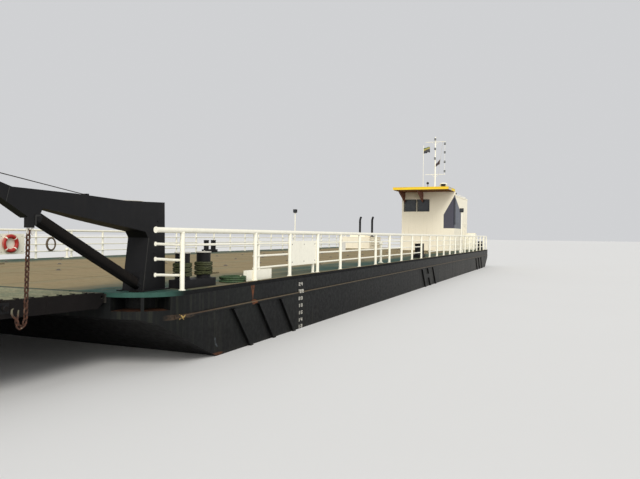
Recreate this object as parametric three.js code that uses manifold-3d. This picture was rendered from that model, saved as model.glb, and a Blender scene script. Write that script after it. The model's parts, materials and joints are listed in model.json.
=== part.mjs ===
// Self-propelled river deck barge with a bow ramp, as a 1:2 scale model.
// +X points to the bow, +Y to port, +Z up. The origin is on the ground under the middle of the box.
// Sizes below are metres of the full-size barge. Every mesh is scaled to model millimetres as it is made.
import * as THREE from "three";
import { mergeVertices } from "three/addons/utils/BufferGeometryUtils.js";
import Module from "manifold-3d";

const wasm = await Module();
wasm.setup();

// Driving dimensions
const MODEL_SCALE = 1 / 2;
const MM_PER_METRE = 1000 * MODEL_SCALE;
const GAP = 0.0006; // 0.3 mm on the model, between pieces that touch
const DEPTH = 2.65; // keel to deck
const HALF_BREADTH = 7.1;
const RAIL_Y = 7.0; // line of the side railings
const DECK_PLATE = 0.09;
const BOW = -4.1; // stations run aft, in metres from the second railing post
const STERN = 44.4;
const RAMP_LENGTH = 7.95;
const MIDDLE = (STERN + BOW - RAMP_LENGTH) / 2;

// Paint
const HULL_BLACK = 0x25272c;
const DECK_GREEN = 0x4c7768;
const RAIL_WHITE = 0xf0ecdc;
const HOUSE_CREAM = 0xece2c4;
const ARM_GREY = 0x26282b;
const ROPE_GREEN = 0x3c5a40;
const STEEL = 0x8a8a86;
const RUST = 0x6b3a24;
const SAFETY_RED = 0xb8322a;
const FLAG_GREEN = 0x6f7a3a;

const barge = new THREE.Group();

// Frames: a station in metres aft of the second post, and a height above the deck
const at = (station) => MIDDLE - station;
const up = (height) => DEPTH + height;

// Solids
function solidFrom(geometry) {
  const bare = geometry.index ? geometry : mergeVertices(geometry, 1e-6);
  bare.deleteAttribute("normal");
  bare.deleteAttribute("uv");
  const merged = mergeVertices(bare, 1e-6);
  return new wasm.Manifold(
    new wasm.Mesh({
      numProp: 3,
      vertProperties: merged.attributes.position.array,
      triVerts: new Uint32Array(merged.index.array),
    }),
  );
}

function geometryFrom(solid) {
  const mesh = solid.getMesh();
  const geometry = new THREE.BufferGeometry();
  const positions = new Float32Array(mesh.vertProperties);
  geometry.setAttribute("position", new THREE.BufferAttribute(positions, 3));
  geometry.setIndex(new THREE.BufferAttribute(new Uint32Array(mesh.triVerts), 1));
  return geometry;
}

const join = (pieces) => pieces.map(asSolid).reduce((whole, piece) => whole.add(piece));
const cut = (body, tools) =>
  tools.map(asSolid).reduce((rest, tool) => rest.subtract(tool), asSolid(body));
const asSolid = (piece) => (piece.isBufferGeometry ? solidFrom(piece) : piece);

function add(name, piece, colour, roughness = 0.7, metalness = 0.1) {
  const geometry = piece.isBufferGeometry ? piece.clone() : geometryFrom(piece);
  geometry.scale(MM_PER_METRE, MM_PER_METRE, MM_PER_METRE);
  const material = new THREE.MeshStandardMaterial({ color: colour, roughness, metalness });
  const mesh = new THREE.Mesh(geometry, material);
  mesh.name = name;
  barge.add(mesh);
}

function box(x0, x1, y0, y1, z0, z1) {
  const geometry = new THREE.BoxGeometry(Math.abs(x1 - x0), Math.abs(y1 - y0), Math.abs(z1 - z0));
  return geometry.translate((x0 + x1) / 2, (y0 + y1) / 2, (z0 + z1) / 2);
}

function extruded(points, depth) {
  const shape = new THREE.Shape(points.map(([a, b]) => new THREE.Vector2(a, b)));
  return new THREE.ExtrudeGeometry(shape, { depth, bevelEnabled: false });
}

// A side profile of [x, z] points, between two y values
function sidePlate(points, y0, y1) {
  const low = Math.min(y0, y1);
  const high = Math.max(y0, y1);
  return extruded(points, high - low).rotateX(Math.PI / 2).translate(0, high, 0);
}

// A plan of [x, y] points, between two heights
const plan = (points, z0, z1) => extruded(points, z1 - z0).translate(0, 0, z0);

// A straight round bar between two points
function bar(from, to, radius, sides = 8, endRadius = radius, turn = 0) {
  const start = new THREE.Vector3(...from);
  const end = new THREE.Vector3(...to);
  const along = end.clone().sub(start);
  const length = along.length();
  const geometry = new THREE.CylinderGeometry(endRadius, radius, length, sides, 1, false, turn);
  const lie = new THREE.Quaternion().setFromUnitVectors(
    new THREE.Vector3(0, 1, 0),
    along.clone().normalize(),
  );
  const middle = start.add(end).multiplyScalar(0.5);
  return geometry.applyQuaternion(lie).translate(middle.x, middle.y, middle.z);
}

// A turned solid about the Z axis from [radius, z] points, moved to a place
function turned(profile, place, sides = 12) {
  const points = profile.map(([r, z]) => new THREE.Vector2(r, z));
  return new THREE.LatheGeometry(points, sides).rotateX(Math.PI / 2).translate(...place);
}

const mirrored = (points) => points.map(([x, y]) => [x, -y]).reverse();

// Plan of the hull: round corners at the bow, small ones at the stern
const BOW_CORNER = 1.15;
const STERN_CORNER = 0.25;

function arc(x, y, radius, from, to, steps) {
  return Array.from({ length: steps + 1 }, (_, i) => {
    const angle = THREE.MathUtils.degToRad(from + ((to - from) * i) / steps);
    return [x + radius * Math.cos(angle), y + radius * Math.sin(angle)];
  });
}

function hullPlan(inset = 0) {
  const half = HALF_BREADTH - inset;
  const bowX = at(BOW) - inset;
  const sternX = at(STERN) + inset;
  const bowR = BOW_CORNER - inset;
  const sternR = STERN_CORNER;
  const port = [
    ...arc(bowX - bowR, half - bowR, bowR, 0, 90, 9),
    ...arc(sternX + sternR, half - sternR, sternR, 90, 180, 2),
  ];
  return [...port, ...mirrored(port)];
}

// Hull, with its bow and stern rakes
const HULL_PROFILE = [
  // [station, height from the deck]
  [BOW - 0.2, -DECK_PLATE - GAP],
  [BOW - 0.2, -0.5],
  [-3.9, -0.52],
  [-3.65, -0.63],
  [-3.1, -0.97],
  [-1.95, -1.5],
  [-0.2, -2.22],
  [1.2, -DEPTH],
  [38.0, -DEPTH],
  [42.4, -1.6],
  [STERN + 0.02, -0.55],
  [STERN + 0.02, -DECK_PLATE - GAP],
];
const FENDER_BARS = [
  // [station of the top, height of the top, height of the foot]
  [-1.22, -0.56, -2.0],
  [0.0, -0.56, -2.0],
  [1.22, -0.56, -2.0],
  [17.71, -0.56, -1.95],
  [18.98, -0.56, -0.86],
  [19.32, -1.08, -1.95],
  [20.27, -0.56, -1.95],
  [36.74, -0.56, -1.8],
  [38.14, -0.56, -1.8],
  [39.54, -0.56, -1.8],
];
const FENDER_LEAN = 0.84; // metres aft for each metre down
const FENDER_PROUD = 0.07;
const FENDER_HALF = 0.065;
const PROPELLER = { station: 41.1, y: 3.4, height: -2.06, radius: 0.52 };
const TUNNEL_RADIUS = 0.64;
const POCKETS = [
  // [from, to] in degrees round the bow corner from straight ahead
  [7, 36.6],
  [39.8, 65.5],
];
const POCKET_DEPTH = 0.5;
const POCKET_SILL = -0.36;

function fenderBar([station, top, foot], side) {
  const run = (top - foot) * FENDER_LEAN;
  const x = at(station);
  const wide = FENDER_HALF;
  const outline = [
    [x + wide, up(top)],
    [x - wide, up(top)],
    [x - wide - run, up(foot)],
    [x + wide - run, up(foot)],
  ];
  const inner = HALF_BREADTH - 0.04;
  return sidePlate(outline, side * inner, side * (HALF_BREADTH + FENDER_PROUD));
}

function cornerPocket([from, to], side) {
  const x = at(BOW) - BOW_CORNER;
  const y = HALF_BREADTH - BOW_CORNER;
  const outer = arc(x, y, BOW_CORNER + 0.2, from, to, 4);
  const inner = arc(x, y, BOW_CORNER - POCKET_DEPTH, from, to, 4).reverse();
  const outline = [...outer, ...inner];
  return plan(side > 0 ? outline : mirrored(outline), up(POCKET_SILL), up(0));
}

function tunnel(side) {
  const y = side * PROPELLER.y;
  const z = up(PROPELLER.height);
  return bar([at(38.3), y, z], [at(STERN) - 1, y, z], TUNNEL_RADIUS, 16);
}

function makeHull() {
  const long = HULL_PROFILE.map(([station, height]) => [at(station), up(height)]);
  const block = solidFrom(sidePlate(long, -HALF_BREADTH - 0.5, HALF_BREADTH + 0.5));
  const body = block.intersect(solidFrom(plan(hullPlan(), -0.1, up(0.1))));
  const bars = [1, -1].flatMap((side) => FENDER_BARS.map((row) => fenderBar(row, side)));
  const hollows = [1, -1].flatMap((side) => [
    ...POCKETS.map((span) => cornerPocket(span, side)),
    tunnel(side),
  ]);
  return cut(join([body, ...bars]), hollows);
}
add("hull", makeHull(), HULL_BLACK, 0.6);
add("main_deck", plan(hullPlan(), up(-DECK_PLATE), up(0)), DECK_GREEN, 0.85);

// Rubbing strake: a flat bar along each side, round the bow corner as far as the pockets
const STRAKE = { top: -0.475, foot: -0.535, proud: 0.035, corner: 70 };

function strake(side) {
  const x = at(BOW) - BOW_CORNER;
  const y = HALF_BREADTH - BOW_CORNER;
  const inner = BOW_CORNER + GAP;
  const outer = BOW_CORNER + STRAKE.proud;
  const outline = [
    ...arc(x, y, outer, STRAKE.corner, 90, 2),
    [at(STERN - 0.4), HALF_BREADTH + STRAKE.proud],
    [at(STERN - 0.4), HALF_BREADTH + GAP],
    ...arc(x, y, inner, 90, STRAKE.corner, 2),
  ];
  return plan(side > 0 ? outline : mirrored(outline), up(STRAKE.foot + GAP), up(STRAKE.top));
}
add("rubbing_strake_port", strake(1), HULL_BLACK, 0.6);
add("rubbing_strake_starboard", strake(-1), HULL_BLACK, 0.6);

// Bow ramp and its hinge
const RAMP_HALF = 6.0;
const RAMP_THICK = 0.3;
const RAMP_ROOT = 0.07; // from the bow face to the ramp
const RAMP_TILT = THREE.MathUtils.degToRad(1.4); // it lies a little tip up
const HINGE = { station: BOW - 0.12, height: -0.08, pin: 0.03, bore: 0.0309, eye: 0.06, wide: 0.12 };
const PIN_SIDES = 16;
const HINGE_LUGS = [-5.2, -3.1, -1.05, 1.05, 3.1, 5.2]; // y of each lug on the bow
const GRIP_BAR = { first: 0.5, pitch: 0.3, wide: 0.045, high: 0.03, last: 7.4 };

function rampProfile() {
  // [distance from the bow face, height from the deck], drawn level
  const points = [[RAMP_ROOT, 0]];
  for (let d = GRIP_BAR.first; d < GRIP_BAR.last; d += GRIP_BAR.pitch) {
    const end = d + GRIP_BAR.wide;
    points.push([d, 0], [d, GRIP_BAR.high], [end, GRIP_BAR.high], [end, 0]);
  }
  points.push([RAMP_LENGTH, -0.02], [RAMP_LENGTH, -0.09], [RAMP_LENGTH - 1.3, -RAMP_THICK + 0.04]);
  points.push([0.22, -RAMP_THICK], [RAMP_ROOT, -0.17]);
  return points.reverse().map(([d, height]) => [at(BOW) + d, up(height)]);
}

function hingeBarrel(y, half, radius, sides = 10) {
  const x = at(HINGE.station);
  const z = up(HINGE.height);
  return bar([x, y - half, z], [x, y + half, z], radius, sides);
}

const RAMP_EYES = [
  // [distance from the bow face, height, reach past the ramp's edge]
  [2.3, -0.12, 0.09],
  [7.2, -0.1, 0.36],
];

function makeRamp() {
  const slab = sidePlate(rampProfile(), -RAMP_HALF, RAMP_HALF);
  const room = HINGE.wide / 2 + 0.02;
  const notches = HINGE_LUGS.map((y) =>
    box(at(BOW), at(BOW) + 0.24, y - room, y + room, up(-0.5), up(0.1)),
  );
  const bore = hingeBarrel(0, RAMP_HALF + 1, HINGE.bore, PIN_SIDES);
  const eyes = [1, -1].flatMap((side) =>
    RAMP_EYES.map(([distance, height, reach]) => {
      const x = at(BOW) + distance;
      const z = up(height);
      return bar([x, side * (RAMP_HALF - 0.1), z], [x, side * (RAMP_HALF + reach), z], 0.045, 8);
    }),
  );
  return cut(join([slab, ...eyes]), [...notches, bore]);
}

function tiltedRamp() {
  const level = geometryFrom(makeRamp());
  const x = at(HINGE.station);
  const z = up(HINGE.height);
  return level.translate(-x, 0, -z).rotateY(-RAMP_TILT).translate(x, 0, z);
}
add("bow_ramp", tiltedRamp(), DECK_GREEN, 0.85);

function makeHingeBar() {
  const face = at(BOW) + GAP;
  const backing = box(face, face + 0.025, -RAMP_HALF, RAMP_HALF, up(-0.2), up(-0.03));
  const lugs = HINGE_LUGS.flatMap((y) => [
    hingeBarrel(y, HINGE.wide / 2, HINGE.eye),
    box(face + 0.01, at(HINGE.station), y - HINGE.wide / 2, y + HINGE.wide / 2, up(-0.18), up(-0.04)),
  ]);
  const pin = hingeBarrel(0, RAMP_HALF - 0.05, HINGE.pin, PIN_SIDES);
  return join([backing, pin, ...lugs]);
}
add("ramp_hinge", makeHingeBar(), STEEL, 0.5, 0.6);

// Goose-neck arm: post, beam and head in one plate box beside the ramp, narrower towards the head
const ARM_OUTER = 6.5;
const ARM_INNER = [
  // [station, y] of the arm's inner face
  [-2.9, 6.0],
  [-4.2, 6.0],
  [-5.0, 6.07],
  [-6.0, 6.3],
  [-7.9, 6.3],
];
const HEAD_Y = 6.4; // the head sheave, the hoist wire and the chain lie in this plane
const BRACE_ENDS = { forward: -6.24, aft: -3.7, top: 1.42 };
const ARM_OUTLINE = [
  // [station, height]
  [-2.94, GAP],
  [-2.98, 1.79],
  [-4.08, 1.76],
  [-5.4, 1.812],
  [-6.67, 1.83],
  [-6.88, 1.89],
  [-7.8, 2.08],
  [-7.82, 1.98],
  [-6.87, 1.66],
  [-6.35, 1.37],
  [BRACE_ENDS.forward - GAP, 1.37],
  [BRACE_ENDS.forward - GAP, BRACE_ENDS.top + GAP],
  [-6.13, BRACE_ENDS.top + GAP],
  [-6.13, 1.45],
  [-6.09, 1.53],
  [-4.04, 1.25],
  [-3.58, 1.18],
  [-3.5, 1.06],
  [-3.66, GAP],
];
const CHAIN_BRACKET = { forward: -6.38, aft: -6.25, inner: 6.42, foot: 1.216, head: 1.4 };
const HEAD_SHEAVE = { station: -8.06, height: 2.05, radius: 0.15, half: 0.05 };

function makeArm(side) {
  const outline = ARM_OUTLINE.map(([station, height]) => [at(station), up(height)]).reverse();
  const inner = ARM_INNER.map(([station, y]) => [at(station), y]);
  const taper = [...inner, [inner[inner.length - 1][0], ARM_OUTER], [inner[0][0], ARM_OUTER]];
  const seen = side > 0 ? taper : mirrored(taper);
  const block = solidFrom(sidePlate(outline, side * ARM_INNER[0][1], side * ARM_OUTER));
  const body = block.intersect(solidFrom(plan(seen, up(-0.1), up(2.2))));
  const x = at(HEAD_SHEAVE.station);
  const z = up(HEAD_SHEAVE.height);
  const cheeks = [-1, 1].map((edge) => {
    const y0 = side * HEAD_Y + edge * (HEAD_SHEAVE.half + 0.01);
    const cheek = [
      [x - 0.42, z - 0.06],
      [x - 0.42, z + 0.02],
      [x - 0.08, z + 0.16],
      [x + 0.1, z + 0.14],
      [x + 0.15, z],
      [x + 0.08, z - 0.13],
      [x - 0.1, z - 0.12],
    ];
    return sidePlate(cheek.reverse(), y0, y0 + edge * 0.03);
  });
  const reach = HEAD_SHEAVE.half + 0.06;
  const y = side * HEAD_Y;
  const pin = bar([x, y - reach, z], [x, y + reach, z], 0.03, 8);
  const { forward, aft, inner: hollow, foot, head } = CHAIN_BRACKET;
  const bracket = box(at(aft), at(forward), side * hollow, side * ARM_OUTER, up(foot), up(head));
  return join([body, bracket, ...cheeks, pin]);
}

// Brace: a pipe from the head's bracket down to a gusset plate on the post's foot
const BRACE = { radius: 0.107, forward: -6.3, aft: -3.6, slope: 0.5036, station: -3.844, height: 0.215 };
const GUSSET = { forward: -3.74, top: 0.39, inner: 6.3 };
const POST_FRONT = { foot: -3.66, lean: 0.151 }; // station, and metres aft for each metre up

function makeBrace(side) {
  const y = side * HEAD_Y;
  const end = (station) => [
    at(station),
    y,
    up(BRACE.height + (BRACE.station - station) * BRACE.slope),
  ];
  const pipe = solidFrom(bar(end(BRACE.aft), end(BRACE.forward), BRACE.radius, 12));
  const { forward, aft, top } = BRACE_ENDS;
  const room = box(at(aft), at(forward), y - 0.2, y + 0.2, up(GAP), up(top));
  const gusset = [
    [at(GUSSET.forward), up(GAP)],
    [at(POST_FRONT.foot) + GAP, up(GAP)],
    [at(POST_FRONT.foot + POST_FRONT.lean * GUSSET.top) + GAP, up(GUSSET.top)],
    [at(GUSSET.forward), up(GUSSET.top)],
  ].reverse();
  const plate = sidePlate(gusset, side * GUSSET.inner, side * ARM_OUTER);
  return join([pipe.intersect(solidFrom(room)), plate]);
}

function makeSheave(side) {
  const { radius, half } = HEAD_SHEAVE;
  const groove = radius - 0.03;
  const profile = [
    [0, -half],
    [radius, -half],
    [radius, -half + 0.012],
    [groove, -0.014],
    [groove, 0.014],
    [radius, half - 0.012],
    [radius, half],
    [0, half],
  ];
  const wheel = turned(profile, [0, 0, 0], 12).rotateX(Math.PI / 2);
  return wheel.translate(at(HEAD_SHEAVE.station), side * HEAD_Y, up(HEAD_SHEAVE.height));
}

// Hoist wire: from a fairlead on the beam, over the head sheave and down to the ramp's eye
const WIRE = { radius: 0.014, fairlead: [-5.1, 1.815], ramp: [-11.3, 0.073] };

function makeWire(side) {
  const { station, height, radius } = HEAD_SHEAVE;
  const y = side * HEAD_Y;
  const wrap = radius - 0.03 + WIRE.radius + GAP;
  const centre = [at(station), up(height)];
  const lead = [at(WIRE.fairlead[0]), up(WIRE.fairlead[1])];
  const eye = [at(WIRE.ramp[0]), up(WIRE.ramp[1])];
  const topAngle = tangentAngle(centre, lead, wrap, 1);
  const downAngle = tangentAngle(centre, eye, wrap, -1);
  const bend = Array.from({ length: 5 }, (_, i) => {
    const angle = topAngle + ((downAngle - topAngle) * i) / 4;
    const reach = wrap / Math.cos((topAngle - downAngle) / 8);
    return [centre[0] + reach * Math.cos(angle), centre[1] + reach * Math.sin(angle)];
  });
  const route = [lead, ...bend, eye];
  const pieces = route.slice(1).map(([x, z], i) => {
    const [x0, z0] = route[i];
    return bar([x0, y, z0], [x, y, z], WIRE.radius, 6);
  });
  const socket = bar([eye[0] - 0.06, y, eye[1] + 0.04], [eye[0], y, eye[1]], 0.03, 6);
  return join([...pieces, socket]);
}

// The angle at which a line from a point touches a circle
function tangentAngle(centre, point, radius, turn) {
  const dx = point[0] - centre[0];
  const dz = point[1] - centre[1];
  const swing = Math.acos(radius / Math.hypot(dx, dz));
  return Math.atan2(dz, dx) - turn * swing;
}

function makeFairlead(side) {
  const x = at(WIRE.fairlead[0]);
  const y = side * HEAD_Y;
  return box(x - 0.065, x - 0.005, y - 0.04, y + 0.04, up(1.77), up(1.832));
}

// Securing chain: it hangs from the arm's head and doubles back up to a hook
const CHAIN = { link: 0.07, pitch: 0.06, wire: 0.011 };
const CHAIN_Y = 6.46;
const CHAIN_ROUTE = [
  // [station, height]
  [-6.33, 1.2075],
  [-6.37, -0.2],
  [-6.4, -0.295],
  [-6.46, -0.335],
  [-6.515, -0.29],
  [-6.535, -0.2],
];
const HOOK = [
  // two prongs, from the last link up
  [[-6.535, -0.21], [-6.6, -0.14], [-6.625, -0.06], [-6.59, -0.02]],
  [[-6.535, -0.21], [-6.51, -0.13], [-6.5, -0.05]],
];
const HOOK_RADIUS = 0.016;

function chainLink(place, along, flat) {
  const half = CHAIN.pitch / 2 + CHAIN.wire * 0.7;
  const wide = CHAIN.link / 2;
  const eye = half - 2 * CHAIN.wire;
  const slot = wide - 1.6 * CHAIN.wire;
  const round = half - wide * 0.7;
  const outline = new THREE.Shape(
    [
      [half, 0],
      [round, wide],
      [-round, wide],
      [-half, 0],
      [-round, -wide],
      [round, -wide],
    ].map(([a, b]) => new THREE.Vector2(a, b)),
  );
  const hole = [
    [eye, slot],
    [-eye, slot],
    [-eye, -slot],
    [eye, -slot],
  ].map(([a, b]) => new THREE.Vector2(a, b));
  outline.holes.push(new THREE.Path(hole));
  const depth = 2 * CHAIN.wire;
  const geometry = new THREE.ExtrudeGeometry(outline, { depth, bevelEnabled: false });
  geometry.translate(0, 0, -CHAIN.wire);
  if (flat) geometry.rotateX(Math.PI / 2);
  const turn = new THREE.Quaternion().setFromUnitVectors(new THREE.Vector3(1, 0, 0), along);
  return geometry.applyQuaternion(turn).translate(place.x, place.y, place.z);
}

function makeChain(side) {
  const y = side * CHAIN_Y;
  const points = CHAIN_ROUTE.map(
    ([station, height]) => new THREE.Vector3(at(station), y, up(height)),
  );
  const route = new THREE.CurvePath();
  points.slice(1).forEach((point, i) => route.add(new THREE.LineCurve3(points[i], point)));
  const count = Math.round(route.getLength() / CHAIN.pitch);
  const links = Array.from({ length: count }, (_, i) => {
    const place = route.getPointAt((i + 0.5) / count);
    const before = route.getPointAt(i / count);
    const along = route.getPointAt((i + 1) / count).sub(before).normalize();
    return chainLink(place, along, i % 2 === 0);
  });
  const prongs = HOOK.flatMap((prong) =>
    prong.slice(1).map(([station, height], i) => {
      const [before, low] = prong[i];
      return bar([at(before), y, up(low)], [at(station), y, up(height)], HOOK_RADIUS, 6);
    }),
  );
  return join([...links, ...prongs]);
}

[["port", 1], ["starboard", -1]].forEach(([name, side]) => {
  add(`goose_neck_${name}`, join([makeArm(side), makeSheave(side), makeFairlead(side)]), ARM_GREY);
  add(`arm_brace_${name}`, makeBrace(side), ARM_GREY);
  add(`hoist_wire_${name}`, makeWire(side), STEEL, 0.5, 0.6);
  add(`securing_chain_${name}`, makeChain(side), RUST, 0.9, 0.3);
});

// Railings
const RAIL = { height: 1.22, top: 0.055, post: 0.05, middle: 0.027, first: -3.9, last: 44.0 };
const MIDDLE_FIRST = -3.82; // the middle rails' forward ends
const POST_STATIONS = [-3.05, ...Array.from({ length: 23 }, (_, i) => 2 * i)];
const FLANGE = { ahead: 0.02, behind: 0.03, top: 0.066, middle: 0.04 }; // at the rails' forward ends
const MIDDLE_RAILS = [
  // [height, bend up of the free forward end, [from, to] spans of stations]
  [0.92, 0.03, [[MIDDLE_FIRST, -3.05], [-3.05, 44.0]]],
  [0.61, 0.05, [[MIDDLE_FIRST, -3.05], [0.03, 18], [20.03, 44.0]]],
  [0.305, 0.05, [[MIDDLE_FIRST, -3.05], [0.03, 18], [20.03, 44.0]]],
];

// Posts meet the flat underside of the top rail. The middle rails run just inboard of the posts,
// and each span is joined to its two end posts.
const RAIL_SIDES = 6;
const HALF_STEP = Math.PI / RAIL_SIDES;
const FLAT = Math.cos(HALF_STEP); // from a six-sided bar's axis to its flat, for a radius of one
const MIDDLE_RAIL_IN = FLAT * (RAIL.post + RAIL.middle) + GAP;

function post(x, y) {
  const head = up(RAIL.height - RAIL.top * FLAT + 0.004);
  return bar([x, y, up(GAP)], [x, y, head], RAIL.post, RAIL_SIDES, RAIL.post, HALF_STEP);
}

// A short block between a post and a middle rail
const JOINT = { half: 0.02, high: 0.03 };

function railJoint(x, y0, y1, height) {
  const low = up(height - JOINT.high / 2);
  return box(x - JOINT.half, x + JOINT.half, y0, y1, low, low + JOINT.high);
}

function makeSideRailing(side) {
  const y = side * RAIL_Y;
  const inboard = y - side * MIDDLE_RAIL_IN;
  const rail = (from, to, height, radius, line, turn = 0) =>
    bar([at(from), line, up(height)], [at(to), line, up(height)], radius, RAIL_SIDES, radius, turn);
  const flange = (station, height, radius, line, turn) =>
    rail(station - FLANGE.ahead, station + FLANGE.behind, height, radius, line, turn);
  const pieces = [
    rail(RAIL.first, RAIL.last, RAIL.height, RAIL.top, y, HALF_STEP),
    flange(RAIL.first, RAIL.height, FLANGE.top, y, HALF_STEP),
    ...POST_STATIONS.map((station) => post(at(station), y)),
  ];
  MIDDLE_RAILS.forEach(([height, bend, spans]) => {
    spans.forEach(([from, to]) => {
      const free = from === MIDDLE_FIRST;
      const start = up(free ? height + bend : height);
      pieces.push(bar([at(from), inboard, start], [at(to), inboard, up(height)], RAIL.middle, RAIL_SIDES));
      if (free) {
        pieces.push(flange(from, height + bend, FLANGE.middle, inboard));
      }
      const ends = [free ? POST_STATIONS[0] : from, to];
      ends.filter((station, i) => i === 0 || station !== ends[0]).forEach((station) => {
        pieces.push(railJoint(at(station), y, inboard, height));
      });
    });
  });
  return pieces;
}

// Port side only: two inner posts, the first with a bracket, and a small blank plate
function portRailingExtras() {
  const y = RAIL_Y - MIDDLE_RAIL_IN - 0.02;
  const posts = [
    // [station, foot, head, radius]
    [0.32, CHOCK_BOX.height + GAP, 0.98, 0.04],
    [3.84, GAP, 0.32, 0.043],
  ].map(([station, foot, head, radius]) =>
    bar([at(station), y, up(foot)], [at(station), y, up(head)], radius, 6),
  );
  const bracket = box(at(0.44), at(0.22), y - 0.05, y + 0.03, up(0.96), up(0.99));
  const plate = box(at(6.65), at(6.05), y + 0.008, y + 0.032, up(0.6), up(0.93));
  return [...posts, bracket, plate];
}

// Starboard side only: a rubber loop hung on the inboard side of the middle rail
const LOOP = { station: 6.68, half: 0.24, top: 0.9, foot: 0.34, section: 0.03, steps: 12 };

function hungLoop() {
  const centre = up((LOOP.top + LOOP.foot) / 2);
  const reach = (LOOP.top - LOOP.foot) / 2;
  const y = -RAIL_Y + MIDDLE_RAIL_IN + RAIL.middle * FLAT + LOOP.section - 0.012;
  const ring = new THREE.TorusGeometry(1, LOOP.section / reach, RAIL_SIDES, LOOP.steps);
  return ring
    .rotateX(Math.PI / 2)
    .scale(LOOP.half, reach, reach)
    .translate(at(LOOP.station), y, centre);
}

const STERN_POSTS = [-6.8, -4.6, -2.3, 0, 2.3, 4.6, 6.8];

function makeSternRailing() {
  const x = at(RAIL.last);
  const end = RAIL_Y - 0.12;
  const inboard = x + MIDDLE_RAIL_IN;
  const posts = STERN_POSTS;
  const rail = (line, height, radius, turn = 0) =>
    bar([line, -end, up(height)], [line, end, up(height)], radius, RAIL_SIDES, radius, turn);
  const top = rail(x, RAIL.height, RAIL.top, HALF_STEP);
  const rails = MIDDLE_RAILS.flatMap(([height]) => [
    rail(inboard, height, RAIL.middle),
    ...[posts[0], posts[posts.length - 1]].map((y) => {
      const low = up(height - JOINT.high / 2);
      return box(x, inboard, y - JOINT.half, y + JOINT.half, low, low + JOINT.high);
    }),
  ]);
  const stands = posts.map((y) => {
    const head = up(RAIL.height - RAIL.top * FLAT + 0.004);
    return bar([x, y, up(GAP)], [x, y, head], RAIL.post, RAIL_SIDES);
  });
  return join([top, ...rails, ...stands]);
}
const CHOCK_BOX = { forward: -0.33, aft: 0.98, inner: 6.86, height: 0.26 };
add("railing_port", join([...makeSideRailing(1), ...portRailingExtras()]), RAIL_WHITE, 0.55);
add("railing_starboard", join([...makeSideRailing(-1), hungLoop()]), RAIL_WHITE, 0.55);
add("railing_stern", makeSternRailing(), RAIL_WHITE, 0.55);

// Fittings on and beside the side railings
const POST_INNER = RAIL_Y - FLAT * RAIL.post - GAP;
const MIDDLE_RAIL_Y = RAIL_Y - MIDDLE_RAIL_IN;
const NAME_BOARD = { forward: 2.07, aft: 3.93, low: 0.28, high: 0.98, thick: 0.028 };
const RING_BOARD = { forward: 4.06, aft: 5.3, low: 0.22, high: 1.06, thick: 0.028 };
const LIFE_RING = { station: 4.58, height: 0.66, radius: 0.3, section: 0.08 };

function chockBox() {
  const { forward, aft, inner, height } = CHOCK_BOX;
  return box(at(aft), at(forward), inner, POST_INNER, up(GAP), up(height));
}
add("chock_box", chockBox(), RAIL_WHITE, 0.6);

function nameBoard() {
  const { forward, aft, low, high, thick } = NAME_BOARD;
  const y = MIDDLE_RAIL_Y + FLAT * RAIL.middle + GAP;
  return box(at(aft), at(forward), y, y + thick, up(low), up(high));
}
add("name_board", nameBoard(), RAIL_WHITE, 0.5);

const RING_BOARD_Y = -MIDDLE_RAIL_Y + FLAT * RAIL.middle + GAP;

function ringBoard() {
  const { forward, aft, low, high, thick } = RING_BOARD;
  return box(at(aft), at(forward), RING_BOARD_Y, RING_BOARD_Y + thick, up(low), up(high));
}
add("ring_board", ringBoard(), RAIL_WHITE, 0.5);

function lifeRing() {
  const { station, height, radius, section } = LIFE_RING;
  const y = RING_BOARD_Y + RING_BOARD.thick + section + GAP;
  const geometry = new THREE.TorusGeometry(radius, section, 8, 20).rotateX(Math.PI / 2);
  return geometry.translate(at(station), y, up(height));
}
add("life_ring", lifeRing(), SAFETY_RED, 0.5);

// Tank vents: a pipe with a cap
const VENTS = [
  // [name, station, y, height]
  ["port", 11.69, 6.71, 0.9],
  ["starboard", 7.36, -6.62, 0.45],
];

VENTS.forEach(([name, station, y, height]) => {
  const profile = [
    [0, 0],
    [0.11, 0],
    [0.11, 0.03],
    [0.05, 0.04],
    [0.05, height - 0.13],
    [0.085, height - 0.12],
    [0.085, height - 0.03],
    [0.05, height],
    [0, height],
  ];
  add(`tank_vent_${name}`, turned(profile, [at(station), y, up(GAP)], 10), RAIL_WHITE, 0.6);
});

// Deck floodlights on poles
const FLOODLIGHT = { station: 31.8, y: 6.76, pole: 0.05, foot: 0.14, low: 2.98, high: 3.25, lamp: 0.135 };

function makeFloodlight(side) {
  const { station, pole, foot, low, high, lamp } = FLOODLIGHT;
  const x = at(station);
  const y = side * FLOODLIGHT.y;
  return join([
    box(x - foot, x + foot, y - foot, y + foot, up(GAP), up(0.2)),
    bar([x, y, up(0.1)], [x, y, up(low + 0.05)], pole, 8),
    box(x - lamp, x + lamp, y - lamp, y + lamp, up(low), up(high)),
  ]);
}
add("floodlight_port", makeFloodlight(1), RAIL_WHITE, 0.6);
add("floodlight_starboard", makeFloodlight(-1), RAIL_WHITE, 0.6);

// Mooring bollards, in pairs on a base
const BOLLARD = { pitch: 0.79, post: 0.155, cap: 0.17, height: 0.76, base: 0.18, past: 0.2, half: 0.2 };
const BOLLARD_CAP = 0.03; // its thickness
const BOLLARD_SIDES = 12;
const BOLLARD_PAIRS = [
  // [name, station of the middle, y]
  ["bow", -2.2, 6.68],
  ["middle", 19.0, 6.66],
  ["stern", 42.9, 6.6],
];

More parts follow.
